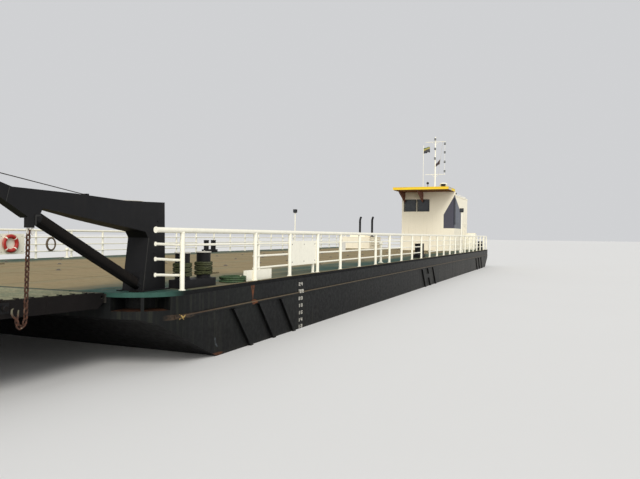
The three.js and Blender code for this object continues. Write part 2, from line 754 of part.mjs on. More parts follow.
function makeBollards(station, y) {
  const { pitch, post, cap, height, past, half } = BOLLARD;
  const middle = at(station);
  const reach = pitch / 2 + past;
  const base = box(middle - reach, middle + reach, y - half, y + half, up(GAP), up(BOLLARD.base));
  const posts = [-pitch / 2, pitch / 2].flatMap((dx) => {
    const x = middle + dx;
    const under = up(height - BOLLARD_CAP);
    return [
      bar([x, y, up(0.1)], [x, y, under + BOLLARD_CAP / 2], post, BOLLARD_SIDES),
      bar([x, y, under], [x, y, up(height)], cap, BOLLARD_SIDES),
    ];
  });
  return join([base, ...posts]);
}

BOLLARD_PAIRS.forEach(([name, station, y]) => {
  add(`bollards_${name}_port`, makeBollards(station, y), HULL_BLACK);
  add(`bollards_${name}_starboard`, makeBollards(station, -y), HULL_BLACK);
});

// Mooring rope: turns on the two bow bollards to port, and a coil on deck
const ROPE = { radius: 0.0255, turns: 6, first: 0.24, notch: 0.008, pairNotch: 0.02 };

function ropeTurns(station, y) {
  const inner = BOLLARD.post + GAP * 2;
  const outer = inner + 2 * ROPE.radius;
  const profile = [[inner, 0]];
  for (let i = 0; i < ROPE.turns; i += 1) {
    const z = i * 2 * ROPE.radius;
    const notch = i % 2 === 0 ? ROPE.pairNotch : ROPE.notch;
    profile.push([outer - notch, z + 0.002]);
    profile.push([outer, z + ROPE.radius]);
  }
  profile.push([inner, ROPE.turns * 2 * ROPE.radius]);
  profile.push([inner, 0]);
  return turned(profile, [at(station), y, up(ROPE.first)], BOLLARD_SIDES);
}
const BOW_PAIR = BOLLARD_PAIRS[0];
["forward", "aft"].forEach((name, i) => {
  const station = BOW_PAIR[1] + (i === 0 ? -1 : 1) * (BOLLARD.pitch / 2);
  add(`rope_turns_${name}`, ropeTurns(station, BOW_PAIR[2]), ROPE_GREEN, 0.95);
});

const COIL = { station: -0.66, y: 6.75, outer: 0.33, inner: 0.23, height: 0.15, edge: 0.02 };
const coilProfile = [
  [COIL.inner + COIL.edge, 0],
  [COIL.outer - COIL.edge, 0],
  [COIL.outer, COIL.edge],
  [COIL.outer, COIL.height - COIL.edge],
  [COIL.outer - COIL.edge, COIL.height],
  [COIL.inner + COIL.edge, COIL.height],
  [COIL.inner, COIL.height - COIL.edge],
  [COIL.inner, COIL.edge],
  [COIL.inner + COIL.edge, 0],
];
add("rope_coil", turned(coilProfile, [at(COIL.station), COIL.y, up(GAP)], 16), ROPE_GREEN, 0.95);

// Deckhouse on the port quarter: two storeys in one shell, a mid deck, a roof and a yellow canopy
const HOUSE = { front: 35.95, aft: 42.33, port: 5.5, starboard: 1.14, roof: 4.55, wall: 0.08 };
const HOUSE_MIDDLE_Y = (HOUSE.port + HOUSE.starboard) / 2;
const MID_DECK = { low: 2.22, high: 2.32 };
const ROOF_THICK = 0.08;
const HOUSE_DOOR = { from: 40.5, to: 41.35, sill: 0.15, head: 2.05 };
const BRIDGE_DOOR = { y0: 3.9, y1: 4.7, sill: 2.5, head: 4.3 };
const BRIDGE_WINDOWS = { sill: 3.25, head: 4.15 };
const FRONT_WINDOWS = [
  // [starboard edge, port edge]
  [1.35, 2.3],
  [2.45, 3.4],
];
const SIDE_WINDOWS = [
  // [forward station, aft station]
  [36.5, 37.9],
  [38.4, 39.8],
];
const DOOR_CLEAR = 0.012; // round each door leaf
const THROUGH = 0.2; // how far a hole's cutter reaches past the wall's face
const PARAPET = 0.1; // thickness of the front parapet, which carries the canopy
const CANOPY = { front: 33.1, aft: 36.05, low: 4.8, high: 4.99 };
const KNEE = { foot: 3.95, toe: 0.08, reach: 2.3, half: 0.03 };

function makeHouseWalls() {
  const { front, aft, port, starboard, roof, wall } = HOUSE;
  const shell = box(at(aft), at(front), starboard, port, up(GAP), up(roof - ROOF_THICK - GAP));
  const room = box(at(aft - wall), at(front + wall), starboard + wall, port - wall, 0, up(roof));
  const parapetTop = up(CANOPY.low - GAP);
  const parapet = box(at(front + PARAPET), at(front), starboard, port, up(roof - 0.3), parapetTop);
  const across = (y, from, to, sill, head) =>
    box(at(to), at(from), y - THROUGH, y + THROUGH, up(sill), up(head));
  const along = (station, y0, y1, sill, head) =>
    box(at(station + THROUGH), at(station - THROUGH), y0, y1, up(sill), up(head));
  const side = HOUSE_DOOR;
  const back = BRIDGE_DOOR;
  const clear = DOOR_CLEAR;
  const { sill, head } = BRIDGE_WINDOWS;
  const holes = [
    across(port, side.from - clear, side.to + clear, side.sill - clear, side.head + clear),
    along(aft, back.y0 - clear, back.y1 + clear, back.sill - clear, back.head + clear),
    ...FRONT_WINDOWS.map(([y0, y1]) => along(front, y0, y1, sill, head)),
    ...SIDE_WINDOWS.map(([from, to]) => across(starboard, from, to, sill, head)),
  ];
  return join([cut(shell, [room, ...holes]), parapet]);
}
add("deckhouse_walls", makeHouseWalls(), HOUSE_CREAM, 0.65);

// Inside: the mid deck on a pillar, with the helm's console, wheel and seat on it
const CONSOLE = { near: 0.4, far: 1.0, y0: 1.9, y1: 4.7, top: 3.2 }; // near and far are from the front
const SEAT = { near: 1.9, far: 2.4, half: 0.25, top: 2.9, back: 3.5, thick: 0.1 };
const WHEEL = { station: 37.03, y: 3.25, height: 3.1, radius: 0.25, thick: 0.04, column: 0.03 };
const PILLAR = { station: 39.3, y: 3.3, half: 0.1 };

function makeHouseInside() {
  const { front, aft, port, starboard, wall } = HOUSE;
  const { low, high } = MID_DECK;
  const skin = wall + GAP;
  const floor = up(high - 0.01);
  const deck = box(at(aft - skin), at(front + skin), starboard + skin, port - skin, up(low), up(high));
  const desk = CONSOLE;
  const console = box(at(front + desk.far), at(front + desk.near), desk.y0, desk.y1, floor, up(desk.top));
  const [y0, y1] = [WHEEL.y - SEAT.half, WHEEL.y + SEAT.half];
  const behind = at(front + SEAT.far);
  const seat = box(behind, at(front + SEAT.near), y0, y1, floor, up(SEAT.top));
  const back = box(behind, behind + SEAT.thick, y0, y1, up(SEAT.top - 0.1), up(SEAT.back));
  const x = at(WHEEL.station);
  const hub = (dx) => [x + dx, WHEEL.y, up(WHEEL.height)];
  const wheel = bar(hub(0), hub(-WHEEL.thick), WHEEL.radius, 12);
  const column = bar(hub(0.15), hub(-0.03), WHEEL.column, 8);
  const { station, y, half } = PILLAR;
  const pillar = box(at(station + half), at(station - half), y - half, y + half, up(GAP), up(low + 0.02));
  return join([deck, console, seat, back, wheel, column, pillar]);
}
add("bridge_deck", makeHouseInside(), 0x8d8a7c, 0.8);

function makeHouseRoof() {
  const { front, aft, port, starboard, roof } = HOUSE;
  const inner = at(front + PARAPET) - GAP;
  return box(at(aft), inner, starboard, port, up(roof - ROOF_THICK), up(roof));
}
add("deckhouse_roof", makeHouseRoof(), HOUSE_CREAM, 0.65);

function makeCanopy() {
  const { port, starboard, front } = HOUSE;
  const slab = box(at(CANOPY.aft), at(CANOPY.front), starboard, port, up(CANOPY.low), up(CANOPY.high));
  const knees = [starboard + 0.25, 2.9].map((y) => {
    const wall = at(front) + GAP;
    const head = up(CANOPY.low + 0.02);
    const outline = [
      [wall, head],
      [wall, up(KNEE.foot)],
      [wall + KNEE.toe, up(KNEE.foot)],
      [wall + KNEE.reach, head],
    ];
    return sidePlate(outline.reverse(), y - KNEE.half, y + KNEE.half);
  });
  return join([slab, ...knees]);
}
add("canopy", makeCanopy(), 0xe8b820, 0.6);

// Doors and panes
const DOOR_THICK = 0.05;
const BARREL = { radius: 0.02, past: 0.016, high: 0.12, strap: 0.08 };
const BARREL_OUT = BARREL.radius + GAP; // from the wall's face to the hinge line

function makeHouseDoor() {
  const { from, to, sill, head } = HOUSE_DOOR;
  const y = HOUSE.port;
  const leaf = box(at(to), at(from), y - DOOR_THICK, y, up(sill), up(head));
  const handle = bar([at(from + 0.1), y - 0.01, up(1.1)], [at(from + 0.1), y + 0.06, up(1.1)], 0.02, 6);
  const lever = bar([at(from + 0.1), y + 0.05, up(1.1)], [at(from + 0.25), y + 0.05, up(1.1)], 0.015, 6);
  const line = [at(to) - BARREL.past, y + BARREL_OUT];
  const hinges = [0.5, 1.7].flatMap((height) => [
    bar([...line, up(height)], [...line, up(height + BARREL.high)], BARREL.radius, 8),
    box(at(to) + 0.001, at(to) + BARREL.strap, y - 0.005, y + 0.028, up(height + 0.02), up(height + 0.1)),
  ]);
  return join([leaf, handle, lever, ...hinges]);
}
add("deckhouse_door", makeHouseDoor(), HOUSE_CREAM, 0.6);

function makeBridgeDoor() {
  const { y0, y1, sill, head } = BRIDGE_DOOR;
  const x = at(HOUSE.aft);
  const leaf = box(x, x + DOOR_THICK, y0, y1, up(sill), up(head));
  const light = box(x - 0.1, x + 0.1, y0 + 0.2, y1 - 0.2, up(3.4), up(4.1));
  const handle = bar([x + 0.01, y0 + 0.1, up(3.3)], [x - 0.06, y0 + 0.1, up(3.3)], 0.02, 6);
  const lever = bar([x - 0.05, y0 + 0.1, up(3.3)], [x - 0.05, y0 + 0.25, up(3.3)], 0.015, 6);
  const line = [x - BARREL_OUT, y1 + BARREL.past];
  const hinges = [2.8, 3.9].flatMap((height) => [
    bar([...line, up(height)], [...line, up(height + BARREL.high)], BARREL.radius, 8),
    box(x - 0.028, x + 0.005, y1 - BARREL.strap, y1 - 0.001, up(height + 0.02), up(height + 0.1)),
  ]);
  return join([cut(leaf, [light]), handle, lever, ...hinges]);
}
add("bridge_door", makeBridgeDoor(), HOUSE_CREAM, 0.6);

// One pane behind each row of windows, inside the wall
const PANE = 0.02;
const PANE_LAP = 0.05; // how far a pane reaches past the openings
const GLASS_GREY = 0x2b3a40;
const paneLow = up(BRIDGE_WINDOWS.sill - PANE_LAP);
const paneHigh = up(BRIDGE_WINDOWS.head + PANE_LAP);

function frontPane() {
  const x = at(HOUSE.front + HOUSE.wall) - GAP;
  const [starboard, port] = [FRONT_WINDOWS[0][0] - PANE_LAP, FRONT_WINDOWS[1][1] + PANE_LAP];
  return box(x - PANE, x, starboard, port, paneLow, paneHigh);
}
add("front_pane", frontPane(), GLASS_GREY, 0.1);

function sidePane() {
  const y = HOUSE.starboard + HOUSE.wall + GAP;
  const [forward, aft] = [SIDE_WINDOWS[0][0] - PANE_LAP, SIDE_WINDOWS[1][1] + PANE_LAP];
  return box(at(aft), at(forward), y, y + PANE, paneLow, paneHigh);
}
add("side_pane", sidePane(), GLASS_GREY, 0.1);

// Balcony and ladder at the back of the deckhouse
const BALCONY = { deep: 1.0, y0: 3.2, y1: 5.2, low: 2.34, high: 2.4, inset: 0.05 };
const BALCONY_RAILS = [
  // [height, radius]
  [3.35, 0.025],
  [2.85, 0.02],
];
const LEG = { inset: 0.06, radius: 0.035 };
const LADDER = { near: 0.25, far: 0.75, stile: 0.025, rung: 0.016, first: 0.25, pitch: 0.28, rungs: 8 };

function makeBalcony() {
  const { deep, y0, y1, low, high, inset } = BALCONY;
  const wall = at(HOUSE.aft) - GAP;
  const outer = wall - deep;
  const top = BALCONY_RAILS[0][0];
  const legX = outer + LEG.inset;
  const [legY0, legY1] = [y0 + inset, y1 - inset];
  const ladderY = y0 - inset;
  const floor = box(outer, wall, y0, y1, up(low), up(high));
  const legs = [legY0, legY1].map((y) => bar([legX, y, up(GAP)], [legX, y, up(top)], LEG.radius, 6));
  const rails = BALCONY_RAILS.flatMap(([height, radius]) => [
    bar([legX, legY0, up(height)], [legX, legY1, up(height)], radius, 6),
    bar([legX, legY1, up(height)], [wall, legY1, up(height)], radius, 6),
  ]);
  const stiles = [LADDER.near, LADDER.far].flatMap((dx) => {
    const x = outer + dx;
    const foot = up((low + high) / 2);
    return [
      bar([x, ladderY, up(GAP)], [x, ladderY, up(top)], LADDER.stile, 6),
      bar([x, ladderY, foot], [x, y0 + 0.1, foot], 0.02, 6),
    ];
  });
  const rungs = Array.from({ length: LADDER.rungs }, (_, i) => {
    const z = up(LADDER.first + LADDER.pitch * i);
    return bar([outer + LADDER.near, ladderY, z], [outer + LADDER.far, ladderY, z], LADDER.rung, 6);
  });
  return join([floor, ...legs, ...rails, ...stiles, ...rungs]);
}
add("balcony_ladder", makeBalcony(), RAIL_WHITE, 0.6);

// Signal mast, which folds aft on its tabernacle
const MAST = { station: 38.6, foot: 4.62, top: 9.75, radius: 0.06, tip: 0.04, y: HOUSE_MIDDLE_Y };
const YARD_RADIUS = 0.022;
const TEN_FLAT = Math.cos(Math.PI / 10); // from a ten-sided bar's axis to its flat, for a radius of one
const YARDS = [
  // [height, reach to each side]
  [9.3, 0.86],
  [6.5, 0.86],
];
const MAST_LAMPS = [9.51, 8.7, 7.87];
const YARD_LAMPS = [9.12, 8.38, 7.57, 6.76];
const MAST_PIVOT = 4.85;

function makeTabernacle() {
  const x = at(MAST.station);
  const y = MAST.y;
  const foot = box(x - 0.2, x + 0.2, y - 0.2, y + 0.2, up(HOUSE.roof + GAP), up(HOUSE.roof + 0.04));
  const cheeks = [-1, 1].map((side) =>
    box(x - 0.1, x + 0.12, y + side * 0.08, y + side * 0.11, up(HOUSE.roof + 0.02), up(5.0)),
  );
  return join([foot, ...cheeks]);
}
add("mast_tabernacle", makeTabernacle(), RAIL_WHITE, 0.55);

function makeMast() {
  const x = at(MAST.station);
  const { y, radius } = MAST;
  const pole = bar([x, y, up(MAST.foot)], [x, y, up(MAST.top)], radius, 10, MAST.tip);
  const yards = YARDS.map(([height, reach]) =>
    bar([x, y - reach, up(height)], [x, y + reach, up(height)], YARD_RADIUS, 6),
  );
  const pin = bar([x, y - 0.079, up(MAST_PIVOT)], [x, y + 0.079, up(MAST_PIVOT)], 0.03, 8);
  return join([pole, ...yards, pin]);
}
add("signal_mast", makeMast(), RAIL_WHITE, 0.5);

const LAMP = { radius: 0.09, half: 0.09, rod: 0.016, black: 0x2a2c2e };

function lampColumn(x, y, heights, low, high) {
  const rod = bar([x, y, up(low)], [x, y, up(high)], LAMP.rod, 6);
  const lamps = heights.map((height) =>
    bar([x, y, up(height - LAMP.half)], [x, y, up(height + LAMP.half)], LAMP.radius, 8),
  );
  return [rod, ...lamps];
}

// The masthead column stands on two brackets in front of the mast
const MASTHEAD_X = at(MAST.station) + MAST.radius + LAMP.radius + 0.005;
const MASTHEAD_ROD = [7.7, 9.65];
const mastFlat = (height) => {
  const share = (height - MAST.foot) / (MAST.top - MAST.foot);
  return TEN_FLAT * (MAST.radius + (MAST.tip - MAST.radius) * share);
};

function mastheadBracket(height) {
  const x = at(MAST.station) + mastFlat(height) + GAP;
  return box(x, MASTHEAD_X, MAST.y - 0.02, MAST.y + 0.02, up(height), up(height + 0.03));
}
const mastheadBrackets = MASTHEAD_ROD.map((height) => mastheadBracket(height - 0.015));
const mastheadLamps = lampColumn(MASTHEAD_X, MAST.y, MAST_LAMPS, ...MASTHEAD_ROD);
add("masthead_lights", join([...mastheadLamps, ...mastheadBrackets]), LAMP.black, 0.5);

const YARD_LAMP_Y = MAST.y + YARDS[0][1] - 0.05;
const BETWEEN_YARDS = [YARDS[1][0] + YARD_RADIUS + GAP, YARDS[0][0] - YARD_RADIUS - GAP];
const yardLamps = lampColumn(at(MAST.station), YARD_LAMP_Y, YARD_LAMPS, ...BETWEEN_YARDS);
add("yard_lights", join(yardLamps), LAMP.black, 0.5);

// Radar on the canopy
function makeRadar() {
  const place = [at(34.8), 4.8, up(CANOPY.high + GAP)];
  const profile = [
    [0, 0],
    [0.2, 0],
    [0.16, 0.16],
    [0.3, 0.2],
    [0.3, 0.34],
    [0.2, 0.42],
    [0, 0.44],
  ];
  return turned(profile, place, 12);
}
add("radar_dome", makeRadar(), RAIL_WHITE, 0.5);

// Flags: one on a staff behind the mast, one on a halyard between the yards
const STAFF = { y: 2.28, radius: 0.02, top: 9.05 };
const STAFF_FLAG = [
  // [y past the staff, height]
  [0.0206, 8.32],
  [0.2, 8.26],
  [0.42, 8.4],
  [0.58, 8.44],
  [0.56, 8.95],
  [0.4, 8.88],
  [0.2, 8.76],
  [0.0206, 8.8],
];
const PENNANT = [
  // [y, height]
  [3.772, 7.84],
  [3.7, 7.32],
  [3.5, 7.28],
  [3.24, 7.1],
  [3.3, 7.32],
  [3.55, 7.62],
];
const CLOTH = 0.02;
const HALYARD = 0.01;

// A plate across the barge from [y, z] points
const crossPlate = (points, x, thick) =>
  extruded(points.map(([y, height]) => [y, up(height)]), thick)
    .rotateX(Math.PI / 2)
    .rotateZ(Math.PI / 2)
    .translate(x, 0, 0);

function makeStaff() {
  const x = at(MAST.station);
  return join([
    bar([x, STAFF.y, up(HOUSE.roof + GAP)], [x, STAFF.y, up(STAFF.top)], STAFF.radius, 8),
    bar([x, STAFF.y, up(HOUSE.roof + GAP)], [x, STAFF.y, up(HOUSE.roof + 0.05)], 0.07, 8),
  ]);
}
add("flag_staff", makeStaff(), RAIL_WHITE, 0.5);

const staffFlag = STAFF_FLAG.map(([y, height]) => [STAFF.y + y, height]);
add("staff_flag", crossPlate(staffFlag, at(MAST.station) - CLOTH / 2, CLOTH), FLAG_GREEN, 0.9);

function makePennant() {
  const x = at(MAST.station) + FLAT * (YARD_RADIUS + HALYARD) + GAP;
  const halyard = bar([x, 3.95, up(9.34)], [x, 3.6, up(6.46)], HALYARD, 6);
  const tie = box(x, x + 0.03, 3.7, 3.76, up(7.4), up(7.7));
  return join([halyard, crossPlate(PENNANT, x + 0.022, CLOTH), tie]);
}
add("mast_pennant", makePennant(), 0x3a2a2e, 0.9);

// Locker at the stern rail, and the engine casing on the starboard quarter with its exhausts
const LOCKER = { forward: 42.6, aft: 43.4, y0: 5.35, y1: 6.2, high: 1.5 };

function makeLocker() {
  const { forward, aft, y0, y1, high } = LOCKER;
  const outline = [
    [at(aft), up(GAP)],
    [at(forward), up(GAP)],
    [at(forward), up(high)],
    [at(aft), up(high - 0.08)],
  ];
  return sidePlate(outline, y0, y1);
}
add("stern_locker", makeLocker(), RAIL_WHITE, 0.6);

const CASING = { forward: 38.2, aft: 41.6, y0: -5.0, y1: -2.4, high: 1.05 };
const HOOD = { near: 0.4, far: 1.3, inset: 0.6, high: 0.16 }; // near and far are from the casing's front
const LOUVRE = { heights: [0.3, 0.45, 0.6, 0.75], high: 0.06, deep: 0.05, inset: 0.4 };

function makeCasing() {
  const { forward, aft, y0, y1, high } = CASING;
  const block = box(at(aft), at(forward), y0, y1, up(GAP), up(high));
  const [back, front] = [at(forward + HOOD.far), at(forward + HOOD.near)];
  const hood = box(back, front, y0 + HOOD.inset, y1 - HOOD.inset, up(high - 0.01), up(high + HOOD.high));
  const [x0, x1] = [at(aft - LOUVRE.inset), at(forward + LOUVRE.inset)];
  const louvres = LOUVRE.heights.flatMap((height) => [
    box(x0, x1, y0 - 0.1, y0 + LOUVRE.deep, up(height), up(height + LOUVRE.high)),
    box(x0, x1, y1 - LOUVRE.deep, y1 + 0.1, up(height), up(height + LOUVRE.high)),
  ]);
  return cut(join([block, hood]), louvres);
}
add("engine_casing", makeCasing(), HOUSE_CREAM, 0.7);

const EXHAUST = { lines: [-4.3, -3.1], radius: 0.1, bend: 2.7, top: 2.9 };

function makeExhausts() {
  const x = at(CASING.aft - 0.5);
  const pipes = EXHAUST.lines.flatMap((y) => [
    bar([x, y, up(CASING.high + GAP)], [x, y, up(EXHAUST.bend)], EXHAUST.radius, 10),
    bar([x, y, up(EXHAUST.bend - 0.05)], [x - 0.25, y, up(EXHAUST.top)], EXHAUST.radius, 10),
  ]);
  const foot = box(x - 0.16, x + 0.16, -4.5, -2.9, up(CASING.high + GAP), up(CASING.high + 0.06));
  return join([...pipes, foot]);
}
add("exhaust_pipes", makeExhausts(), ARM_GREY, 0.7);

// Propellers in tunnels, their stern tubes, and the rudders
const BLADES = 4;

function makePropeller(side) {
  const x = at(PROPELLER.station);
  const y = side * PROPELLER.y;
  const z = up(PROPELLER.height);
  const hub = bar([x - 0.14, y, z], [x + 0.12, y, z], 0.1, 10, 0.08);
  const cap = bar([x - 0.24, y, z], [x - 0.13, y, z], 0.04, 10, 0.1);
  const blades = Array.from({ length: BLADES }, (_, i) => {
    const outline = [
      [0.05, -0.07],
      [0.22, -0.17],
      [0.42, -0.19],
      [PROPELLER.radius, -0.06],
      [PROPELLER.radius, 0.08],
      [0.4, 0.17],
      [0.2, 0.13],
      [0.05, 0.07],
    ];
    const blade = extruded(outline, 0.035).translate(0, 0, -0.0175);
    blade.rotateX((side * Math.PI) / 5.5);
    blade.rotateY(-Math.PI / 2);
    return blade.rotateX((i * 2 * Math.PI) / BLADES + Math.PI / 4).translate(x, y, z);
  });
  return join([hub, cap, ...blades]);
}

function makeSternTube(side) {
  const y = side * PROPELLER.y;
  const z = up(PROPELLER.height);
  const tube = bar([at(38.3) - GAP, y, z], [at(PROPELLER.station) + 0.12 + GAP, y, z], 0.075, 10);
  const strutX = at(PROPELLER.station - 0.45);
  const strut = box(strutX - 0.12, strutX + 0.12, y - 0.03, y + 0.03, z, z + TUNNEL_RADIUS - 0.0067);
  return join([tube, strut]);
}

const RUDDER = { station: 42.15, top: -1.62, foot: -2.56, lead: 0.22, chord: 0.85 };

function makeRudder(side) {
  const x = at(RUDDER.station);
  const y = side * PROPELLER.y;
  const section = [
    [x + RUDDER.lead, y],
    [x + RUDDER.lead - 0.12, y + 0.06],
    [x - 0.2, y + 0.06],
    [x + RUDDER.lead - RUDDER.chord, y + 0.015],
    [x + RUDDER.lead - RUDDER.chord, y - 0.015],
    [x - 0.2, y - 0.06],
    [x + RUDDER.lead - 0.12, y - 0.06],
  ];
  const blade = plan(section, up(RUDDER.foot), up(RUDDER.top));
  const stock = bar([x, y, up(-2.5)], [x, y, up(-1.43)], 0.05, 10);
  return join([blade, stock]);
}

[["port", 1], ["starboard", -1]].forEach(([name, side]) => {
  add(`stern_tube_${name}`, makeSternTube(side), STEEL, 0.5, 0.6);
  add(`propeller_${name}`, makePropeller(side), 0xa8843c, 0.35, 0.8);
  add(`rudder_${name}`, makeRudder(side), HULL_BLACK, 0.6);
});

export default barge;
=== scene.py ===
"""Looks of a river deck barge with a bow ramp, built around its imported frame."""
import json
from math import acos, atan2, cos, hypot, pi, radians, sin, sqrt, tau

import bpy
from mathutils import Matrix, Vector


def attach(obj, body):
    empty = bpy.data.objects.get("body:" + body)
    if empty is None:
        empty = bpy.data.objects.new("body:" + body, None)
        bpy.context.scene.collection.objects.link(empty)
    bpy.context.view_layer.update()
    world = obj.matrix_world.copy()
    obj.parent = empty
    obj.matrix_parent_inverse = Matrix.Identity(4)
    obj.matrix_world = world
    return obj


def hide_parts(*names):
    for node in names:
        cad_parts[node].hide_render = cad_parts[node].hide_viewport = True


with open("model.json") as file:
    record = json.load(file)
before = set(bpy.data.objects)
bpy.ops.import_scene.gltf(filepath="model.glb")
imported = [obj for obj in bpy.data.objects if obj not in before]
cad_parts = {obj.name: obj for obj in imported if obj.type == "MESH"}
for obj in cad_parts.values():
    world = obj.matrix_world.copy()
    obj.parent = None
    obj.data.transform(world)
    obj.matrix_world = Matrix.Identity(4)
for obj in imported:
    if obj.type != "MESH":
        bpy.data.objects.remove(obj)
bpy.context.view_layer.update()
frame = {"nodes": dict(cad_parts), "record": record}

# Shapes are drawn in full-size metres: x forward from station 0, so minus the station, y to port, z up from
# the deck. Materials use the station, side and height too. The frame starts at the keel's level, amidships.
HALF = 0.5
MIDDLE = 16.175
DEPTH = 2.65
WATERLINE = -1.53


def moved(place):
    """A place in the frame, still at full size."""
    x, y, z = place
    return x + MIDDLE, y, z + DEPTH


# Camera: fitted to the photo
CAMERA = {"place": (13.26, 14.275, 1.155), "yaw": 0.3952, "pitch": -0.0073, "roll": 0.012, "lens": 33.95}


def make_camera():
    yaw, pitch, roll = (CAMERA[key] for key in ("yaw", "pitch", "roll"))
    forward = Vector((-cos(yaw) * cos(pitch), -sin(yaw) * cos(pitch), sin(pitch)))
    level = Vector((-sin(yaw), cos(yaw), 0))
    right = cos(roll) * level + sin(roll) * level.cross(forward)
    turn = Matrix((right, right.cross(forward), -forward)).transposed().to_4x4()
    data = bpy.data.cameras.new("camera")
    data.sensor_width = 36
    data.lens = CAMERA["lens"]
    data.clip_end = 500
    camera = bpy.data.objects.new("camera", data)
    bpy.context.scene.collection.objects.link(camera)
    camera.matrix_world = Matrix.Translation(Vector(moved(CAMERA["place"])) * HALF) @ turn
    bpy.context.scene.camera = camera


make_camera()


# Shapes
def along_route(points, count):
    """Places and directions in the middle of equal steps along a broken line."""
    legs = [(a, (b - a).normalized(), (b - a).length) for a, b in zip(points, points[1:])]
    total = sum(length for _, _, length in legs)
    out = []
    for i in range(count):
        left = total * (i + 0.5) / count
        leg = 0
        while leg < len(legs) - 1 and left > legs[leg][2]:
            left -= legs[leg][2]
            leg += 1
        start, way, _ = legs[leg]
        out.append((start + way * left, way))
    return out


def ring_points(centre, radius, count=48, axis="y", start=0.0, turn=tau):
    """Points round a circle, or an oval of two radii, about an axis through its centre."""
    reach = radius if isinstance(radius, tuple) else (radius, radius)
    places = []
    for i in range(count):
        a = start + turn * i / (count if turn == tau else count - 1)
        u, v = reach[0] * cos(a), reach[1] * sin(a)
        places.append(Vector(centre) + Vector({"x": (0, u, v), "y": (u, 0, v), "z": (u, v, 0)}[axis]))
    return places


def plugs(count, at=0):
    """The two ends of a closed bar or lathe: its first and last ring of corners."""
    return [tuple(reversed(range(count))), tuple(at + k for k in range(count))]


def between(rings, sides, closed=False):
    """Faces between each ring of corners and the next one."""
    steps = [(i, (i + 1) % rings) for i in range(rings if closed else rings - 1)]
    turns = [(k, (k + 1) % sides) for k in range(sides)]
    return [(i * sides + k, i * sides + m, j * sides + m, j * sides + k) for i, j in steps for k, m in turns]


def outboard(profile, side):
    """A lathe's rows as they are, or turned to face the other way."""
    return profile if side > 0 else [(r, -h) for r, h in reversed(profile)]


